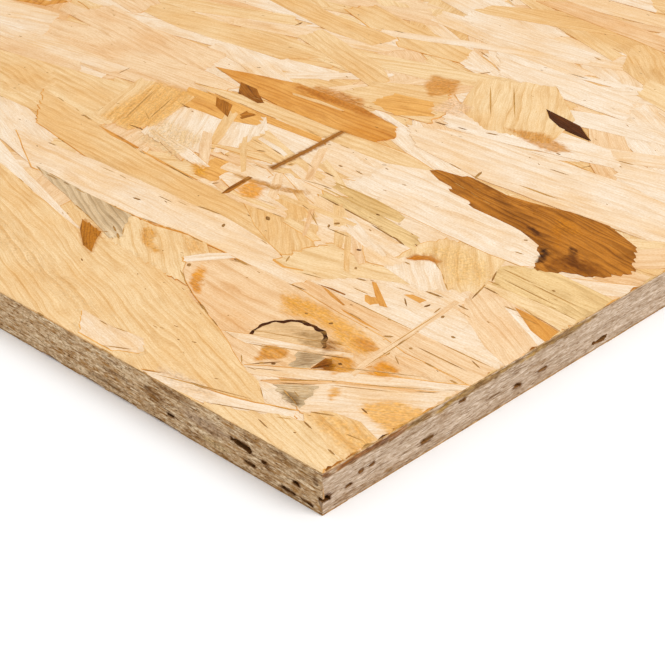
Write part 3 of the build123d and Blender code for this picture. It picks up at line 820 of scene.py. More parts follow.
def relief_object(name, side, relief, woods, rim, stains):
    """Object of a relief on its side of the panel, with its maps, its stains and each face's wood."""
    flat = np.array(relief.points)
    axes = np.array([side.along, side.across, side.outward])
    mesh = bpy.data.meshes.new(name)
    mesh.from_pydata(((flat @ axes + np.array(side.start)) * MM).tolist(), [], relief.faces)
    strands = [relief.strand(owner) if owner > SKIRT else rim for owner in relief.owners]
    kinds = sorted({strand.wood for strand in strands})
    for kind in kinds:
        mesh.materials.append(woods[kind])
    mesh.polygons.foreach_set("material_index", [kinds.index(strand.wood) for strand in strands])
    # A wall's tone is deepened by its painted shade
    tones = np.array([strand.tone for strand in strands]) + np.array(relief.deepen)
    pitches = np.array([strand.pitch * MM for strand in strands])
    for label, values in (("tone", tones), ("pitch", pitches)):
        layer = mesh.attributes.new(label, "FLOAT", "FACE")
        layer.data.foreach_set("value", values.astype(np.float32))

    corners = np.empty(len(mesh.loops), dtype=np.int64)
    mesh.loops.foreach_get("vertex_index", corners)
    counts = np.array([len(face) for face in relief.faces])
    face_of = np.repeat(np.arange(len(counts)), counts)
    is_skirt = face_of >= relief.skirt_start
    is_back = face_of == len(counts) - 1
    turn = np.radians([strand.grain for strand in strands])[face_of]
    shift = np.array([map_shift(strand) for strand in strands])[face_of]
    x, y, z = flat[corners].T
    cos, sin = np.cos(turn), np.sin(turn)
    grain = np.stack([x * cos + y * sin + shift, y * cos - x * sin + shift], 1)
    grain[is_skirt] = np.stack([x + y, z], 1)[is_skirt]
    west, south, east, north = relief.tile
    bake = np.stack([(x - west) / (east - west), (y - south) / (north - south)], 1) * BAKE_SHARE + BAKE_MARGIN
    bake[is_back] = BACK_START + BACK_SHARE * bake[is_back]
    for label, values in (("grain", grain * MM), ("OFBake", bake)):
        layer = mesh.uv_layers.new(name=label)
        layer.uv.foreach_set("vector", values.astype(np.float32).ravel())

    strength, colour = stain_layer(stains, flat[:, 0], flat[:, 1])
    strength, colour = strength[corners], colour[corners]
    is_clean = is_skirt | np.array([strand.wood in ("gap", "crack") for strand in strands])[face_of]
    strength[is_clean], colour[is_clean] = 0, 0
    layer = mesh.attributes.new("stain_strength", "FLOAT", "CORNER")
    layer.data.foreach_set("value", strength.astype(np.float32))
    layer = mesh.attributes.new("stain_colour", "FLOAT_VECTOR", "CORNER")
    layer.data.foreach_set("vector", colour.astype(np.float32).ravel())
    mesh.update()
    made = bpy.data.objects.new(name, mesh)
    bpy.context.scene.collection.objects.link(made)
    return made


def touches(outline, tile):
    """Whether an outline's box reaches into a tile."""
    xs, ys = [p.real for p in outline], [p.imag for p in outline]
    return max(xs) > tile[0] and min(xs) < tile[2] and max(ys) > tile[1] and min(ys) < tile[3]


def grid_points(tile, region, step, rng):
    """Points about a step apart in the part of a region that lies in a tile, none on its border."""
    west, south = max(tile[0], region[0]) + step / 2, max(tile[1], region[1]) + step / 2
    east, north = min(tile[2], region[2]), min(tile[3], region[3])
    points = []
    for x in np.arange(west, east - step / 4, step):
        for y in np.arange(south, north - step / 4, step):
            points.append(complex(x, y) + step * complex(rng.uniform(-0.2, 0.2), rng.uniform(-0.2, 0.2)))
    return points


def with_heights(strands):
    """The strands, lowest first, at heights that rise with their rank; a crack lies below the one before."""
    rng = random.Random(SEED)
    raised = []
    height = -RELIEF
    for rank, strand in enumerate(strands):
        if strand.wood == "crack":
            raised.append(strand._replace(height=height + strand.height))
            continue
        height = -RELIEF * (1 - (rank + 1) / len(strands)) - rng.uniform(0, HEIGHT_WANDER)
        raised.append(strand._replace(height=height))
    return raised


def is_on(strand, line):
    """Whether any corner of a crack lies on a strand."""
    x, y = np.array([p.real for p in line.outline]), np.array([p.imag for p in line.outline])
    if not touches(strand.outline, (x.min(), y.min(), x.max(), y.max())):
        return False
    return bool((distances(strand.outline, x, y) > 0).any())


def browned_underside_and_shade(strand, rng):
    """A strand's resin-browned underside, a little of which shows at one side: partly real browning, partly
    painted shade along the strand's edge.
    """
    shift = cmath.rect(rng.uniform(*UNDERSIDE_SHIFT), rng.uniform(-math.pi, math.pi))
    outline = [p + shift for p in strand.outline]
    return strand._replace(outline=outline, wood="ochre", tone=rng.uniform(*UNDERSIDE_TONE))


def slivers(rng):
    """Small slivers strewn over parts of the photographed corner, in the form of its strands."""
    made = []
    for west, east, south, north, count in SLIVER_ZONES:
        for _ in range(count):
            middle = complex(rng.uniform(west, east), rng.uniform(south, north))
            turn = rng.choice(SLIVER_TURNS) + rng.gauss(0, SLIVER_SPREAD)
            length, width = rng.triangular(*SLIVER_LENGTH), rng.triangular(*SLIVER_WIDTH)
            outline = tapered_flake(middle, length, width, turn, rng)
            wood = rng.choices(list(SLIVER_WOODS), weights=list(SLIVER_WOODS.values()))[0]
            tone, pitch = rng.uniform(*SLIVER_TONE), rng.uniform(*SLIVER_PITCH)
            made.append((wood, turn, pitch, tone, [(p.real, p.imag) for p in outline]))
    return made


def arris_slivers(rng):
    """Torn fibres, browned by the saw, along the arris of the short edge, in the same form."""
    made = []
    along = TORN_START
    while along < TORN_ARRIS:
        woods, usual_depth, deepen, gap = RUSTY_TORN if along < RUSTY_ARRIS else TAN_TORN
        length, depth = rng.triangular(*TORN_LENGTH), rng.triangular(*TORN_DEPTH, usual_depth)
        corners = [(-0.3 * depth, along), (0, along), (0, along + length), (-depth, along + 0.6 * length)]
        wood = rng.choice(woods)
        made.append((wood, 90, 1.0, rng.uniform(*TORN_TONE) + deepen, corners))
        along += length + rng.triangular(*gap)
    return made


def seen_corner_strands(rng):
    """The strands, chips and cracks of the photographed corner, in the top face's own places."""
    corner = complex(LENGTH, 0)
    rows = CORNER_STRANDS + slivers(rng) + CORNER_CHIPS + arris_slivers(rng)
    made = []
    for wood, grain, pitch, tone, corners in rows:
        outline = [corner + complex(*point) for point in corners]
        if wood not in ("knot", "bark"):
            outline = ragged(outline, grain, "fine", rng)
        strand = Strand(outline, wood, grain, pitch, tone, 0)
        if wood in ("cream", "yellow", "peach") and rng.random() < UNDERSIDE_SHARE:
            made.append(browned_underside_and_shade(strand, rng))
        made.append(strand)
    cracks = [crack(corner + complex(x, y), length, width, turn, dark)
              for x, y, length, width, turn, dark in CORNER_CRACKS]
    for strand in made:
        lines = side_cracks(strand, rng)
        if outline_measures(strand.outline)[0] > NARROW:
            cracks += lines
    above = [max((k for k, strand in enumerate(made) if is_on(strand, line)), default=0) for line in cracks]
    ordered = []
    for k, strand in enumerate(made):
        ordered.append(strand)
        ordered += [line for line, under in zip(cracks, above) if under == k]
    return ordered


def side_cracks(strand, rng):
    """Faint hairlines along some stretches of a strand's sides: painted shadow lines at its border."""
    lines = []
    for a, b in zip(strand.outline, strand.outline[1:] + strand.outline[:1]):
        if abs(b - a) > SIDE_CRACK_LEAST and rng.random() < SIDE_CRACK_SHARE:
            turn = math.degrees(cmath.phase(b - a))
            length, width = abs(b - a) * rng.uniform(0.5, 1), rng.uniform(0.35, 0.7)
            lines.append(crack((a + b) / 2, length, width, turn, SIDE_CRACK_DARK))
    return lines


def face_strands(rng, on_top, near_corner):
    """All strands of a face, lowest first, with a crack beside some of them."""
    def new_strand(point, small):
        near = near_corner is not None and abs(point - near_corner) < NEAR_REACH
        return face_strand(point, near, small, rng)

    laid = []
    for strand in lay_strands(LENGTH, WIDTH, STRAND_CELL, on_top, new_strand, STRAND_SHOWS, rng):
        if rng.random() < FACE_UNDERSIDE_SHARE:
            laid.append(browned_underside_and_shade(strand, rng))
        laid.append(strand)
        if rng.random() < FACE_CRACK_SHARE:
            end = strand.outline[rng.randrange(len(strand.outline))]
            turn = strand.grain + rng.choice((0, 0, 90)) + rng.gauss(0, 8)
            length, width = rng.triangular(*FACE_CRACK_LENGTH), rng.uniform(*FACE_CRACK_WIDTH)
            laid.append(crack(end, length, width, turn, rng.uniform(0, 0.6)))
    return with_heights(laid + on_top)


# Gaps and chips of the sawn edges, in millimetres, as the panel's solid has them. A gap: distance from the
# corner where the edge starts, share of the core's height, length, height, and degrees that it rises. The long
# edge's last gap is where the short edge's first one breaks through the corner. A chip: distance and length.
LONG_EDGE_GAPS = [(40.0, 0.59, 11.0, 2.3, 5.0), (35.5, 0.19, 5.0, 1.0, 0.0), (28.5, 0.47, 2.6, 1.2, -14.0),
                  (12.5, 0.39, 3.2, 1.3, 10.0), (16.5, 0.06, 6.5, 1.0, 4.0), (7.5, 0.02, 6.0, 0.7, 6.0),
                  (77.5, 0.27, 3.6, 0.8, -5.0), (0.6, 0.32, 2.6, 2.0, 0.0)]
SHORT_EDGE_GAPS = [(1.2, 0.32, 5.6, 2.2, -6.0), (13.0, 0.31, 3.2, 0.8, 3.0), (19.0, 0.51, 2.6, 1.2, 0.0),
                   (24.5, 0.52, 2.4, 1.0, 8.0), (53.5, 0.27, 6.6, 1.3, 0.0), (72.5, 0.80, 3.6, 0.9, -6.0),
                   (104.5, 0.25, 4.4, 1.6, -12.0), (119.5, 0.29, 5.0, 0.8, 0.0)]
LONG_EDGE_CHIPS = [(84.0, 23.0), (105.0, 16.0), (123.0, 15.0)]
FACE_LAYER = 1.6
GAP_PITCH = 72.0
GAP_FIRST = 170.0
GAP_LENGTHS = (5.0, 13.0)
GAP_HEIGHTS = (0.9, 2.1)
GAP_REACH = 0.42
GAP_TILT = 4.0
GAP_CLEAR = 0.08
GAP_SIDES = 26
GAP_SHADE_REACH = 6.0  # on a short edge, only gaps this near to the corner get the deep painted shade inside
# tone of the painted shade inside those gaps
GAP_SHADE_TONE = 0.6
GAP_MOUTH_SHADE = ("#6B431A", 0.75, 0.7)  # colour, strength and soft edge of the darker rim round a gap: painted shade at its mouth
GAP_MOUTH_LONGER = 1.0
GAP_MOUTH_HIGHER = 0.8
CHIP_PITCH = 190.0
CHIP_FIRST = 205.0
CHIP_LENGTH = 20.0
CHIP_HEIGHT = 1.1
CHIP_DEPTH = 1.0
CHIP_END = 0.5
CHIP_VARIES = 0.4
CHIP_TONE = 0.9
CHIP_FLOOR = 0.8  # a chip's floor on the edge lies at this share of its depth
CHIP_SKIN = 0.05  # what is left of a face tile behind a chip
PATTERN_WANDER = 0.3
GOLDEN = 0.6180339887


def spread(step, stride, low, high):
    """Value between low and high for one step of a pattern; each measure has a stride of its own."""
    return low + (high - low) * (step * stride * GOLDEN % 1)


def gap_pattern(span, shift):
    """Gaps along an edge, past the stretch beside its first corner."""
    gaps = []
    for number in range(int((span - 2 * GAP_FIRST) // GAP_PITCH) + 1):
        step = number + shift
        along = GAP_FIRST + (number + spread(step, 3, -PATTERN_WANDER, PATTERN_WANDER)) * GAP_PITCH
        level = spread(step, 7, GAP_CLEAR, 1 - GAP_CLEAR)
        length = spread(step, 5, *GAP_LENGTHS)
        height = spread(step, 11, *GAP_HEIGHTS)
        gaps.append((along, level, length, height, spread(step, 13, -GAP_TILT, GAP_TILT)))
    return gaps


def chip_pattern(span):
    """Places and lengths of the chips along a long edge's lower arris."""
    chips = []
    for number in range(int((span - 2 * CHIP_FIRST) // CHIP_PITCH) + 1):
        along = CHIP_FIRST + (number + spread(number, 3, -PATTERN_WANDER, PATTERN_WANDER)) * CHIP_PITCH
        chips.append((along, CHIP_LENGTH * spread(number, 5, 1 - CHIP_VARIES, 1 + CHIP_VARIES)))
    return chips


def ridged(middle, length, height, end, turn=0.0):
    """Outline that is highest in the middle, with square ends that have a share of that height."""
    half, ridge, tip = length / 2, height / 2, height * end / 2
    corners = [(-half, -tip), (0, -ridge), (half, -tip), (half, tip), (0, ridge), (-half, tip)]
    way = cmath.rect(1, math.radians(turn))
    return [middle + complex(*corner) * way for corner in corners]


def gap_outline(middle, length, height, turn):
    """Uneven slot with rounded ends."""
    way = cmath.rect(1, math.radians(turn))
    outline = []
    for step in range(GAP_SIDES):
        angle = math.tau * step / GAP_SIDES
        x = math.copysign(abs(math.cos(angle)) ** 0.5, math.cos(angle)) * length / 2
        y = math.copysign(abs(math.sin(angle)) ** 0.5, math.sin(angle)) * height / 2
        uneven = 1 + 0.3 * math.sin(3 * angle + 5 * length) + 0.25 * math.sin(7 * angle + 3 * length)
        outline.append(middle + complex(x * (0.9 + 0.1 * uneven), y * uneven) * way)
    return outline


class Edge(NamedTuple):
    """A sawn edge of the panel, and whether its gaps are measured from its last end."""

    name: str
    start: Vector
    along: Vector
    outward: Vector
    span: float
    from_end: bool
    gaps: list
    chips: list
    stains: list
    wood: str
    fine: float  # length beside its first corner that is made of fine sections

    def place(self, along, height):
        """Place on the strip's pattern, from a distance along the edge and a height over the lower face."""
        return complex(self.span - along if self.from_end else along, height - FACE_SLAB)

    def gap_shape(self, along, level, length, height, rise):
        """Outline of a gap on the strip's pattern."""
        middle = self.place(along, FACE_LAYER + level * (THICKNESS - 2 * FACE_LAYER))
        return gap_outline(middle, length, height, -rise if self.from_end else rise)


def edge_hollows(edge):
    """The deep hollows of the gaps and chips on an edge strip's pattern."""
    hollows = []
    for gap in edge.gaps:
        along, _, length, _, _ = gap
        # The deeper tone inside a gap is painted shade
        tone = GAP_SHADE_TONE if edge.wood == "sawn_ends" or along < GAP_SHADE_REACH else 0.0
        hollows.append(Strand(edge.gap_shape(*gap), "gap", 0.0, 1.0, tone, -GAP_REACH * length))
    for along, length in edge.chips:
        outline = ridged(edge.place(along, 0), length, 2 * CHIP_HEIGHT, CHIP_END)
        hollows.append(Strand(outline, edge.wood, 0.0, 1.0, CHIP_TONE, -CHIP_FLOOR * CHIP_DEPTH))
    return hollows


def edge_section(seed_point, detail, wood, rng):
    """A strand of the core cut through by the saw: a long thin lens."""
    turn = rng.gauss(0, SECTION_SPREAD)
    length = rng.triangular(*SECTION_LENGTH[detail])
    thick = rng.triangular(*SECTION_THICKNESS[detail])
    middle = seed_point + cmath.rect(length * rng.uniform(-0.3, 0.3), math.radians(turn))
    tone = min(1, max(0, rng.gauss(*SECTION_TONE)))
    return Strand(lens(middle, length, thick, turn), wood, turn, 0.9, tone, -rng.uniform(0, SECTION_RELIEF))


def edge_strands(edge, rng):
    """Cut strands and open gaps of one sawn edge, lowest first."""
    def lay(length, detail, on_top):
        def new_strand(point, small):
            return edge_section(point, detail, edge.wood, rng)
        return lay_strands(length, STRIP_HEIGHT, SECTION_CELL[detail], on_top, new_strand, SECTION_SHOWS, rng)

    fine = lay(edge.fine, "fine", [])
    start = edge.span - edge.fine if edge.from_end else 0
    fine = [strand._replace(outline=[p + start for p in strand.outline]) for strand in fine]
    return lay(edge.span, "coarse", fine) + fine + edge_hollows(edge)


def hex_colour(text):
    """Linear colour of an sRGB hex value such as #FBE3C0."""
    parts = [int(text[k:k + 2], 16) / 255 for k in (1, 3, 5)]
    linear = [p / 12.92 if p <= 0.04045 else ((p + 0.055) / 1.055) ** 2.4 for p in parts]
    return (*linear, 1.0)


def add(tree, kind, inputs=(), output=0, **settings):
    """Add a node with its settings and return one output; inputs that are sockets are linked, others set."""
    node = tree.nodes.new(kind)
    for name, value in settings.items():
        setattr(node, name, value)
    for key, value in inputs.items() if isinstance(inputs, dict) else enumerate(inputs):
        if isinstance(value, bpy.types.NodeSocket):
            tree.links.new(value, node.inputs[key])
        else:
            node.inputs[key].default_value = value
    return node.outputs[output] if node.outputs else None


class Pattern(NamedTuple):
    """A random pattern in the wood: its size in millimetres along the grain and across, and its own place."""

    along: float
    across: float
    detail: float
    shift: float


FIBRE = Pattern(11.0, 0.5, 4.0, 3.1)  # bundles of fibres; single ones are too fine to show
GRIT = Pattern(1.1, 0.6, 3.0, 2.9)
DASH = Pattern(4.5, 0.55, 3.0, 5.9)
BLOTCH = Pattern(3.0, 1.4, 6.0, 4.3)
SOAK = Pattern(9.0, 0.9, 4.0, 15.2)
SMUDGE = Pattern(15.0, 5.0, 6.0, 12.4)
STREAK = Pattern(60.0, 2.4, 3.0, 9.2)
PATCH = Pattern(70.0, 18.0, 3.0, 7.7)
RING_WANDER = Pattern(170.0, 24.0, 2.0, 1.3)
BEND = Pattern(45.0, 16.0, 2.0, 17.5)  # slow bends of the fibres
BEND_REACH = 1.9  # millimetres that they stray from straight
BLOOM = Pattern(30.0, 30.0, 4.0, 21.0)  # resin and heat, which cross from strand to strand
MOTTLE = Pattern(3.8, 1.9, 5.0, 2.7)
CRUMB = Pattern(1.5, 1.0, 4.0, 8.8)
SMEAR = Pattern(7.0, 2.0, 5.0, 6.1)
COLOURS = {"output": 2, "data_type": "RGBA"}  # a mix node set so has its two colours at inputs 6 and 7


def random_pattern(tree, place, sizes):
    """Values from 0 to 1 of a random pattern, at a place in metres along the grain and across it."""
    scale = (1 / (sizes.along * MM), 1 / (sizes.across * MM), 1)
    place = add(tree, "ShaderNodeVectorMath", [place, scale, [sizes.shift] * 3], operation="MULTIPLY_ADD")
    noise = add(tree, "ShaderNodeTexNoise", {"Vector": place, "Scale": 1.0, "Detail": sizes.detail})
    return add(tree, "ShaderNodeMapRange", [noise, 0.3, 0.7, 0, 1])


def new_wood(name):
    """A material with no nodes but the map of its grain: the material, its tree and the map."""
    material = bpy.data.materials.new(name)
    material.use_nodes = True
    tree = material.node_tree
    tree.nodes.clear()
    return material, tree, add(tree, "ShaderNodeUVMap", uv_map="grain")


def bent(tree, grain):
    """The grain map with slow bends in its fibres."""
    reach = BEND_REACH * MM
    stray = add(tree, "ShaderNodeMapRange", [random_pattern(tree, grain, BEND), 0, 1, -reach, reach])
    stray = add(tree, "ShaderNodeCombineXYZ", [0.0, stray, 0.0])
    return add(tree, "ShaderNodeVectorMath", [grain, stray], operation="ADD")


def veil_colour(dark, pale, deep):
    """Colour that darkens the mean of two woods to a third when it is multiplied in."""
    parts = zip(hex_colour(dark), hex_colour(pale), hex_colour(deep))
    return [min(1, 2 * d / (p + q)) for d, p, q in parts]


def stained(tree, grain, colour):
    """The colour under the mesh's own stains, which break up at their edges and soak in along the fibres."""
    strength = add(tree, "ShaderNodeAttribute", output="Fac", attribute_name="stain_strength")
    dyed = add(tree, "ShaderNodeAttribute", output="Vector", attribute_name="stain_colour")
    least = add(tree, "ShaderNodeMath", [strength, 0.001], operation="MAXIMUM")
    stain = add(tree, "ShaderNodeVectorMath", [dyed, least], operation="DIVIDE")
    grainy = add(tree, "ShaderNodeMapRange", [random_pattern(tree, grain, CRUMB), 0, 1, 0.72, 1.14])
    stain = add(tree, "ShaderNodeVectorMath", {0: stain, "Scale": grainy}, operation="SCALE")
    broken = add(tree, "ShaderNodeMapRange", [random_pattern(tree, grain, BLOTCH), 0, 1, -0.05, -0.85])
    share = add(tree, "ShaderNodeMath", [strength, 1.9, broken], operation="MULTIPLY_ADD", use_clamp=True)
    uneven = add(tree, "ShaderNodeMapRange", [random_pattern(tree, grain, SOAK), 0, 1, 0.7, 1])
    share = add(tree, "ShaderNodeMath", [share, uneven], operation="MULTIPLY")
    return add(tree, "ShaderNodeMix", {0: share, 6: colour, 7: stain}, **COLOURS)


def wood_surface(tree, colour, height, bump_mm, roughness):
    """The shader of a wood: its colour, fine relief and dull gloss."""
    bump = add(tree, "ShaderNodeBump", {"Strength": 0.5, "Distance": bump_mm * MM, "Height": height})
    shader = add(tree, "ShaderNodeBsdfPrincipled", {
        "Base Color": colour, "Roughness": roughness, "Normal": bump, "IOR": 1.45, "Specular IOR Level": 0.05,
    })
    add(tree, "ShaderNodeOutputMaterial", [shader])


def strand_wood(name, pale, deep, late, rings=0.5, smudges=0.3, swirl=2.2, roughness=0.54):
    """Flake of wood pressed hot: growth rings, fibres, smudges and dark dashes under a satin, waxy face."""
    material, tree, grain = new_wood(name)
    grain = bent(tree, grain)
    tone = add(tree, "ShaderNodeAttribute", output="Fac", attribute_name="tone")
    pitch = add(tree, "ShaderNodeAttribute", output="Fac", attribute_name="pitch")
    across = add(tree, "ShaderNodeSeparateXYZ", [grain], "Y")
    sizes = (FIBRE, GRIT, DASH, SMUDGE, STREAK, PATCH, RING_WANDER)
    fibre, grit, dash, smudge, streak, patch, wander = [random_pattern(tree, grain, size) for size in sizes]
    bloom = random_pattern(tree, add(tree, "ShaderNodeTexCoord", output="Object"), BLOOM)

    bands = add(tree, "ShaderNodeMath", [across, pitch], operation="DIVIDE")
    bands = add(tree, "ShaderNodeMath", [wander, swirl, bands], operation="MULTIPLY_ADD")
    ring = add(tree, "ShaderNodeMath", [bands], operation="FRACT")
    darkens = add(tree, "ShaderNodeMapRange", [ring, 0.3, 0.9, 0, 1])
    ends = add(tree, "ShaderNodeMapRange", [ring, 0.92, 1, 1, 0])
    late_wood = add(tree, "ShaderNodeMath", [darkens, ends], operation="MULTIPLY")
    shows = add(tree, "ShaderNodeMapRange", [streak, 0.1, 0.9, 0.1 * rings, rings])
    late_wood = add(tree, "ShaderNodeMath", [late_wood, shows], operation="MULTIPLY")

    depth = tone
    for varies, reach in ((patch, 0.25), (streak, 0.2), (bloom, 0.35)):
        shift = add(tree, "ShaderNodeMapRange", [varies, 0, 1, -reach, reach])
        depth = add(tree, "ShaderNodeMath", [depth, shift], operation="ADD")
    depth = add(tree, "ShaderNodeMapRange", [depth, 0, 1, 0, 1])
    smudge = add(tree, "ShaderNodeMapRange", [smudge, 0.5, 1, 0, smudges])
    dash = add(tree, "ShaderNodeMapRange", [dash, 0.86, 1, 0, 0.5])
    colour = add(tree, "ShaderNodeMix", {0: depth, 6: hex_colour(pale), 7: hex_colour(deep)}, **COLOURS)
    colour = stained(tree, grain, colour)
    white, darker = hex_colour("#FFFFFF"), veil_colour(late, pale, deep)
    for share, first, last in ((late_wood, white, darker), (smudge, white, darker),
                               (fibre, hex_colour("#EFE7DD"), white), (grit, hex_colour("#F3E8DA"), white)):
        veil = add(tree, "ShaderNodeMix", {0: share, 6: first, 7: last}, **COLOURS)
        colour = add(tree, "ShaderNodeMix", {0: 1.0, 6: colour, 7: veil}, **COLOURS, blend_type="MULTIPLY")
    colour = add(tree, "ShaderNodeMix", {0: dash, 6: colour, 7: hex_colour(late)}, **COLOURS)

    height = add(tree, "ShaderNodeMath", [fibre, 0.7, late_wood], operation="MULTIPLY_ADD")
    gloss = add(tree, "ShaderNodeMapRange", [fibre, 0, 1, roughness + 0.08, roughness - 0.08])
    wood_surface(tree, colour, height, 0.12, gloss)
    return material


def sawn_wood(name, pale, deep, brown, dark, contrast, roughness=0.8, stretch=1.0):
    """Strands cut through by a saw: a dull, mottled surface with brown smears, crumbs and small pits darkened
    with painted shade.

    Strands that the saw cut along their fibres have the same marks, but stretched."""
    material, tree, grain = new_wood(name)
    tone = add(tree, "ShaderNodeAttribute", output="Fac", attribute_name="tone")
    sizes = [size._replace(along=size.along * stretch, across=size.across / stretch ** 0.5)
             for size in (MOTTLE, CRUMB, SMEAR)]
    mottle, crumb, smear = [random_pattern(tree, grain, size) for size in sizes]
    shift = add(tree, "ShaderNodeMapRange", [mottle, 0, 1, -contrast, contrast])
    depth = add(tree, "ShaderNodeMath", [tone, shift], operation="ADD", use_clamp=True)
    smear = add(tree, "ShaderNodeMapRange", [smear, 0.62, 0.95, 0, contrast])
    pit_shade = add(tree, "ShaderNodeMapRange", [crumb, 0.18, 0, 0, contrast])
    colour = hex_colour(pale)
    for share, over in ((depth, deep), (smear, brown)):
        colour = add(tree, "ShaderNodeMix", {0: share, 6: colour, 7: hex_colour(over)}, **COLOURS)
    colour = stained(tree, grain, colour)
    dusty, white = hex_colour("#CBBBA8"), hex_colour("#FFFFFF")
    veil = add(tree, "ShaderNodeMix", {0: crumb, 6: dusty, 7: white}, **COLOURS)
    colour = add(tree, "ShaderNodeMix", {0: 1.0, 6: colour, 7: veil}, **COLOURS, blend_type="MULTIPLY")
    # Small pits are darkened with painted shade
    colour = add(tree, "ShaderNodeMix", {0: pit_shade, 6: colour, 7: hex_colour(dark)}, **COLOURS)
    height = add(tree, "ShaderNodeMath", [mottle, 0.5, crumb], operation="MULTIPLY_ADD")
    wood_surface(tree, colour, height, 0.25, roughness)
    return material


def make_woods():
    """Materials of the strands, by the names that the strand lists use."""
    return {
        # New outer wood: nearly white, with faint rings and a soft waxy sheen
        "cream": strand_wood("pine_sapwood_pressed", "#FFF3E2", "#FADBB0", "#E8BE86", rings=0.45),
        # Spring growth: straw yellow in broad, calm bands
        "yellow": strand_wood("pine_early_wood_pressed", "#FCE2B6", "#F3C98C", "#DDAC66",
                              rings=0.6, swirl=1.2),
        # Between spring and summer growth: a warmer peach, its bands closer
        "peach": strand_wood("pine_transition_wood_pressed", "#FCE1BC", "#F3C792", "#DCA768"),
        # Another kind of tree: a duller gold, with darker lines
        "olive": strand_wood("poplar_strand_pressed", "#F7D9A2", "#E0B874", "#B48A4A"),
        # Inner wood, browned more by the hot press: amber
        "ochre": strand_wood("pine_heartwood_pressed", "#F6C070", "#E09A40", "#B87024", rings=0.5),
        # Inner wood full of resin: fox brown, in swirling bands with dark smudges
        "brown": strand_wood("resinous_heartwood_pressed", "#CC8630", "#9A5C12", "#5A2C05",
                             rings=0.65, smudges=0.5, swirl=5.0),
        # Nearly black brown, so that a thin rim of it draws a line
        "bark": strand_wood("bark_pressed", "#6E3A08", "#341602", "#200C01"),
        # Outer wood greyed by mould: cool and flat beside the others
        "grey": strand_wood("blue_stained_sapwood_pressed", "#F2DCB8", "#CBAE84", "#8E7450", rings=0.6),
        # Dense wood of a branch: evenly tan, with close faint lines
        "knot": strand_wood("knot_wood_pressed", "#F8D8AA", "#E2B984", "#B28A54", rings=0.4),
        # The shadow where two strands part: duller and browner than both
        "crack": strand_wood("crack_painted_shade", "#D6A864", "#6A3A0C", "#4C2604", roughness=0.75),
        # Scraps of inner bark: small brown specks on the pale wood
        "fleck": strand_wood("bark_fleck_pressed", "#C4904C", "#7C4C18", "#5C3208", roughness=0.6),
        # Fibres cut across: a dull, strongly mottled surface with brown smears and pits darkened with painted
        # shade
        "sawn_ends": sawn_wood("core_strands_sawn_across", "#F2DCBA", "#B68B56", "#7E521C", "#2E1708", 0.7),
        # Fibres cut along: greyer and smoother, with its marks drawn out
        "sawn_sides": sawn_wood("core_strands_sawn_along", "#DFCCB8", "#B09880", "#8E7048", "#4A3016", 0.42,
                                stretch=1.7),
        # The cut rim of a face's strands: a thin tan line along the arris
        "sawn_face": sawn_wood("face_strands_sawn_across", "#DDB888", "#AE8A5C", "#8A5A28", "#4A2C12", 0.6),
        # A hollow that light hardly reaches: painted shade, dark brown, with no sheen
        "gap": sawn_wood("open_gap_painted_shade", "#B0804A", "#56300F", "#402208", "#2A1404", 0.4,
                         roughness=0.9),
    }


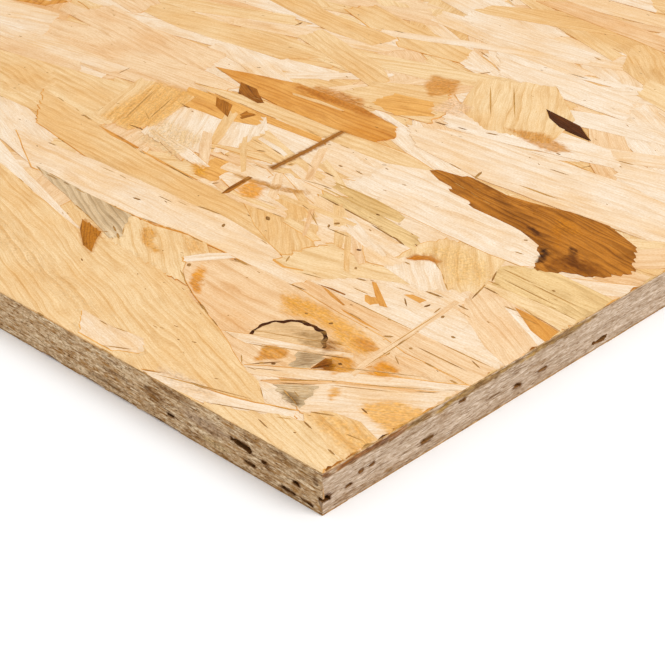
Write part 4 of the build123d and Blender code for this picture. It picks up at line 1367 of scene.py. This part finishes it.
def fleck_tree(material):
    """Geometry nodes that scatter flecks of bark over the upward faces of a tile and join them to it."""
    tree = bpy.data.node_groups.new("bark_flecks", "GeometryNodeTree")
    for name, kind in (("Strands", "Geometry"), ("Flecks per square metre", "Float"), ("Length", "Float"),
                       ("Seed", "Int"), ("Tile start", "Vector"), ("Tile size", "Vector")):
        tree.interface.new_socket(name, in_out="INPUT", socket_type=f"NodeSocket{kind}")
    tree.interface.new_socket("Strands and flecks", in_out="OUTPUT", socket_type="NodeSocketGeometry")
    given = add(tree, "NodeGroupInput").node.outputs

    normal = add(tree, "GeometryNodeInputNormal")
    rise = add(tree, "ShaderNodeSeparateXYZ", [normal], "Z")
    upward = add(tree, "FunctionNodeCompare", [rise, UPWARD], operation="GREATER_THAN")
    points = add(tree, "GeometryNodeDistributePointsOnFaces", {
        "Mesh": given["Strands"], "Selection": upward, "Density": given["Flecks per square metre"],
        "Seed": given["Seed"],
    }, "Points")

    place = add(tree, "GeometryNodeInputPosition")
    share = add(tree, "ShaderNodeVectorMath", [place, given["Tile start"]], operation="SUBTRACT")
    share = add(tree, "ShaderNodeVectorMath", [share, given["Tile size"]], operation="DIVIDE")
    border = add(tree, "ShaderNodeVectorMath", [share, (0.5, 0.5, 0)], operation="SUBTRACT")
    border = add(tree, "ShaderNodeVectorMath", [border], operation="ABSOLUTE")
    across = add(tree, "ShaderNodeSeparateXYZ", [border], "X")
    along = add(tree, "ShaderNodeSeparateXYZ", [border], "Y")
    furthest = add(tree, "ShaderNodeMath", [across, along], operation="MAXIMUM")
    inside = add(tree, "FunctionNodeCompare", [furthest, FLECK_KEEPS], operation="LESS_THAN")

    cone = add(tree, "GeometryNodeMeshCone", {"Vertices": 5, "Radius Bottom": 0.5, "Depth": 1.0}, "Mesh")
    turn = add(tree, "FunctionNodeRandomValue", {0: (0, 0, -FLECK_TURN), 1: (0, 0, FLECK_TURN), "Seed": 1},
               data_type="FLOAT_VECTOR")
    sizes = add(tree, "FunctionNodeRandomValue", {0: FLECK_LEAST, 1: FLECK_MOST, "Seed": 2},
                data_type="FLOAT_VECTOR")
    scale = add(tree, "ShaderNodeVectorMath", {0: sizes, "Scale": given["Length"]}, operation="SCALE")
    flecks = add(tree, "GeometryNodeInstanceOnPoints", {
        "Points": points, "Selection": inside, "Instance": cone, "Rotation": turn, "Scale": scale,
    })
    flecks = add(tree, "GeometryNodeRealizeInstances", [flecks])
    fills, margin = (BAKE_SHARE, BAKE_SHARE, 0), (BAKE_MARGIN, BAKE_MARGIN, 0)
    bake = add(tree, "ShaderNodeVectorMath", [share, fills, margin], operation="MULTIPLY_ADD")
    for name, value in (("grain", place), ("OFBake", bake)):
        stored = {"Geometry": flecks, "Name": name, "Value": value}
        flecks = add(tree, "GeometryNodeStoreNamedAttribute", stored, data_type="FLOAT2", domain="CORNER")
    flecks = add(tree, "GeometryNodeSetMaterial", {"Geometry": flecks, "Material": material})
    joined = add(tree, "GeometryNodeJoinGeometry", [given["Strands"]])
    tree.links.new(flecks, joined.node.inputs[0])
    add(tree, "NodeGroupOutput", [joined])
    return tree


def scatter_flecks(piece, tree, values):
    """Run the fleck nodes on a piece, and keep the result as its plain mesh."""
    modifier = piece.modifiers.new("flecks", "NODES")
    modifier.node_group = tree
    for item in tree.interface.items_tree:
        if item.in_out == "INPUT" and item.name in values:
            modifier[item.identifier] = values[item.name]
    ready = bpy.context.evaluated_depsgraph_get()
    strewn = piece.evaluated_get(ready)
    mesh = bpy.data.meshes.new_from_object(strewn, preserve_all_data_layers=True, depsgraph=ready)
    mesh.name = piece.name
    piece.modifiers.remove(modifier)
    piece.data = mesh


def build_face(name, side, strands, woods, stains, region, flecks, wanted):
    """The tiles of one face."""
    ground = Strand([], "yellow", 0.0, 2.4, 0.8, -RELIEF - GROUND_SINK)
    # The lower face's darker rim is a painted shadow line along the lower arris
    rim = Strand([], "sawn_face", 0.0, 1.0, UPPER_RIM if side.outward.z > 0 else LOWER_RIM_SHADED, 0)
    rng = random.Random(SEED)
    columns, rows = round(LENGTH / TILE), round(WIDTH / TILE)
    wide, deep = LENGTH / columns, WIDTH / rows
    made = []
    for number in range(columns * rows):
        i, j = divmod(number, rows)
        tile = (i * wide, j * deep, (i + 1) * wide, (j + 1) * deep)
        if not wanted(tile):
            continue
        own = [strand for strand in strands if touches(strand.outline, tile)]
        own_stains = [stain for stain in stains if touches(stain.outline, tile)]
        extra = grid_points(tile, region, STAIN_STEP, rng)
        relief = Relief(tile, own, ground, -FACE_SLAB, (0, 0), extra)
        piece = relief_object(f"{name}_{number + 1}", side, relief, woods, rim, own_stains)
        if flecks:
            start = side.start + side.along * tile[0] + side.across * tile[1]
            scatter_flecks(piece, flecks, {
                "Flecks per square metre": FLECKS_PER_M2, "Length": FLECK_LENGTH * MM, "Seed": SEED + number,
                "Tile start": start * MM, "Tile size": (wide * MM, deep * MM, 1.0),
            })
        made.append(piece)
    return made


def arris_stains():
    """Small brown smears under the upper arris of the short edge, in the form of the stain lists."""
    rng = random.Random(SEED)
    stains = []
    for _ in range(ARRIS_SMEARS):
        first, upper = rng.uniform(SMEAR_START, EDGE_STAINED), rng.triangular(*SMEAR_DROP)
        last, lower = first + rng.triangular(*SMEAR_LENGTH), upper + rng.uniform(*SMEAR_HEIGHT)
        colour = rng.choice(RUSTY_SMEARS if first < RUSTY_ARRIS else TAN_SMEARS)
        stains.append((colour, rng.uniform(*SMEAR_STRENGTH), SMEAR_SOFT, first, last, upper, lower))
    return stains


def edge_stains(edge):
    """The stains of an edge on its strip's pattern, with painted shade round the mouths of its gaps."""
    stains = []
    for colour, strength, soft, first, last, upper, lower in edge.stains:
        middle = edge.place((first + last) / 2, THICKNESS - (upper + lower) / 2)
        stains.append(Stain(colour, strength, soft, lens(middle, last - first, lower - upper, 0)))
    # A darker rim of painted shade round the mouth of each gap near the corner
    for along, level, length, height, rise in edge.gaps:
        if edge.stains and along < EDGE_STAINED:
            longer, higher = length + GAP_MOUTH_LONGER, height + GAP_MOUTH_HIGHER
            stains.append(Stain(*GAP_MOUTH_SHADE, edge.gap_shape(along, level, longer, higher, rise)))
    return stains


def build_edge(edge, woods, rng):
    """The strips of one sawn edge; at the panel's corners their backs are cut to a mitre."""
    ground = Strand([], edge.wood, 0.0, 1.0, 0.8, -SECTION_SINK)
    rim = ground._replace(tone=1.2)
    side = Side(edge.start + Vector((0, 0, FACE_SLAB)), edge.along, Vector((0, 0, 1)), edge.outward)
    strands, stains = edge_strands(edge, rng), edge_stains(edge)
    count = round(edge.span / TILE)
    length = edge.span / count
    first = edge.span - EDGE_STAINED if edge.from_end else 0
    region = (first, 0, first + (EDGE_STAINED if edge.stains else 0), STRIP_HEIGHT)
    made = []
    for number in range(count):
        tile = (number * length, 0.0, (number + 1) * length, STRIP_HEIGHT)
        own = [strand for strand in strands if touches(strand.outline, tile)]
        insets = (EDGE_SLAB if number == 0 else 0, EDGE_SLAB if number == count - 1 else 0)
        extra = grid_points(tile, region, EDGE_STAIN_STEP, rng)
        relief = Relief(tile, own, ground, -EDGE_SLAB, insets, extra)
        made.append(relief_object(f"{edge.name}_{number + 1}", side, relief, woods, rim, stains))
    return made


def build_panel():
    """All visible pieces of the panel."""
    woods = make_woods()
    x, y, z = Vector((1, 0, 0)), Vector((0, 1, 0)), Vector((0, 0, 1))
    half_x, half_y = x * LENGTH / 2, y * WIDTH / 2
    back_chips = chip_pattern(LENGTH)
    front_chips = LONG_EDGE_CHIPS + back_chips

    rng = random.Random(SEED)
    corner = complex(LENGTH, 0)
    top = Side(-half_x - half_y + z * THICKNESS, x, y, z)
    strands = face_strands(rng, seen_corner_strands(rng), corner)
    stains = [Stain(colour, strength, soft, [corner + complex(*point) for point in corners])
              for colour, strength, soft, corners in CORNER_STAINS]
    region = (LENGTH - STAINED[0], 0, LENGTH, STAINED[1])
    flecks = fleck_tree(woods["fleck"])
    pieces = build_face("top_strands", top, strands, woods, stains, region, flecks,
                        lambda tile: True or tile[0] > LENGTH / 2 - 1)
    bottom = Side(-half_x + half_y, x, -y, -z)
    strands = face_strands(random.Random(SEED + 1), [], None)
    chips = [(complex(LENGTH - along, WIDTH), length) for along, length in front_chips]
    chips += [(complex(along, 0), length) for along, length in back_chips]
    for place, length in chips:
        outline = ridged(place, length, 2 * CHIP_DEPTH, CHIP_END)
        strands.append(Strand(outline, "sawn_face", 0.0, 1.0, CHIP_TONE, CHIP_SKIN - FACE_SLAB))
    nowhere = (0, 0, 0, 0)
    pieces += build_face("bottom_strands", bottom, strands, woods, [], nowhere, None, lambda tile: True)

    edges = [
        Edge("front_edge", -half_x - half_y, x, -y, LENGTH, True, LONG_EDGE_GAPS + gap_pattern(LENGTH, 1),
             front_chips, LONG_EDGE_STAINS, "sawn_ends", FINE_REACH),
        Edge("right_edge", half_x - half_y, y, x, WIDTH, False, SHORT_EDGE_GAPS + gap_pattern(WIDTH, 40),
             [], SHORT_EDGE_STAINS + arris_stains(), "sawn_sides", FINE_REACH),
        Edge("back_edge", half_x + half_y, -x, y, LENGTH, True, gap_pattern(LENGTH, 80),
             back_chips, [], "sawn_ends", 0.0),
        Edge("left_edge", -half_x + half_y, -y, -x, WIDTH, False, gap_pattern(WIDTH, 120),
             [], [], "sawn_sides", 0.0),
    ]
    for number, edge in enumerate(edges):
        pieces += build_edge(edge, woods, random.Random(SEED + 2 + number))
    return pieces


def build_stage():
    """White floor, soft light from the right and above, and the photographed view over the corner."""
    scene = bpy.context.scene
    scene.view_settings.view_transform = "Standard"

    mesh = bpy.data.meshes.new("floor")
    reach = 30.0
    corners = [(-reach, -reach, 0), (reach, -reach, 0), (reach, reach, 0), (-reach, reach, 0)]
    mesh.from_pydata(corners, [], [(0, 1, 2, 3)])
    floor = bpy.data.objects.new("floor", mesh)
    scene.collection.objects.link(floor)
    # Matt white paper: no gleam, so that the floor melts into the background
    paper = bpy.data.materials.new("white_studio_paper")
    paper.use_nodes = True
    shader = paper.node_tree.nodes["Principled BSDF"]
    shader.inputs["Base Color"].default_value = hex_colour("#FCFCFC")
    shader.inputs["Roughness"].default_value = 0.9
    mesh.materials.append(paper)

    world = bpy.data.worlds.new("studio")
    scene.world = world
    world.use_nodes = True
    background = world.node_tree.nodes["Background"]
    background.inputs["Color"].default_value = (1, 1, 1, 1)
    background.inputs["Strength"].default_value = 0.77

    key = bpy.data.lights.new("key", "AREA")
    key.shape = "DISK"
    key.size = 3.0
    key.energy = 120
    lamp = bpy.data.objects.new("key", key)
    scene.collection.objects.link(lamp)
    lamp.location = (4.2, 0.2, 3.4)
    aim = Vector((1.0, -0.4, 0)) - lamp.location
    lamp.rotation_euler = aim.to_track_quat("-Z", "Y").to_euler()

    camera = bpy.data.cameras.new("camera")
    camera.sensor_width = SENSOR
    camera.lens = LENS
    view = bpy.data.objects.new("camera", camera)
    scene.collection.objects.link(view)
    corner = Vector((LENGTH / 2, -WIDTH / 2, THICKNESS))
    view.location = (corner + EYE) * MM
    view.rotation_euler = (math.radians(90 - EYE_TILT), 0, math.radians(EYE_TURN))
    scene.camera = view


build_stage()
for piece in build_panel():
    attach(piece, "root")
    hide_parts("osb_panel")
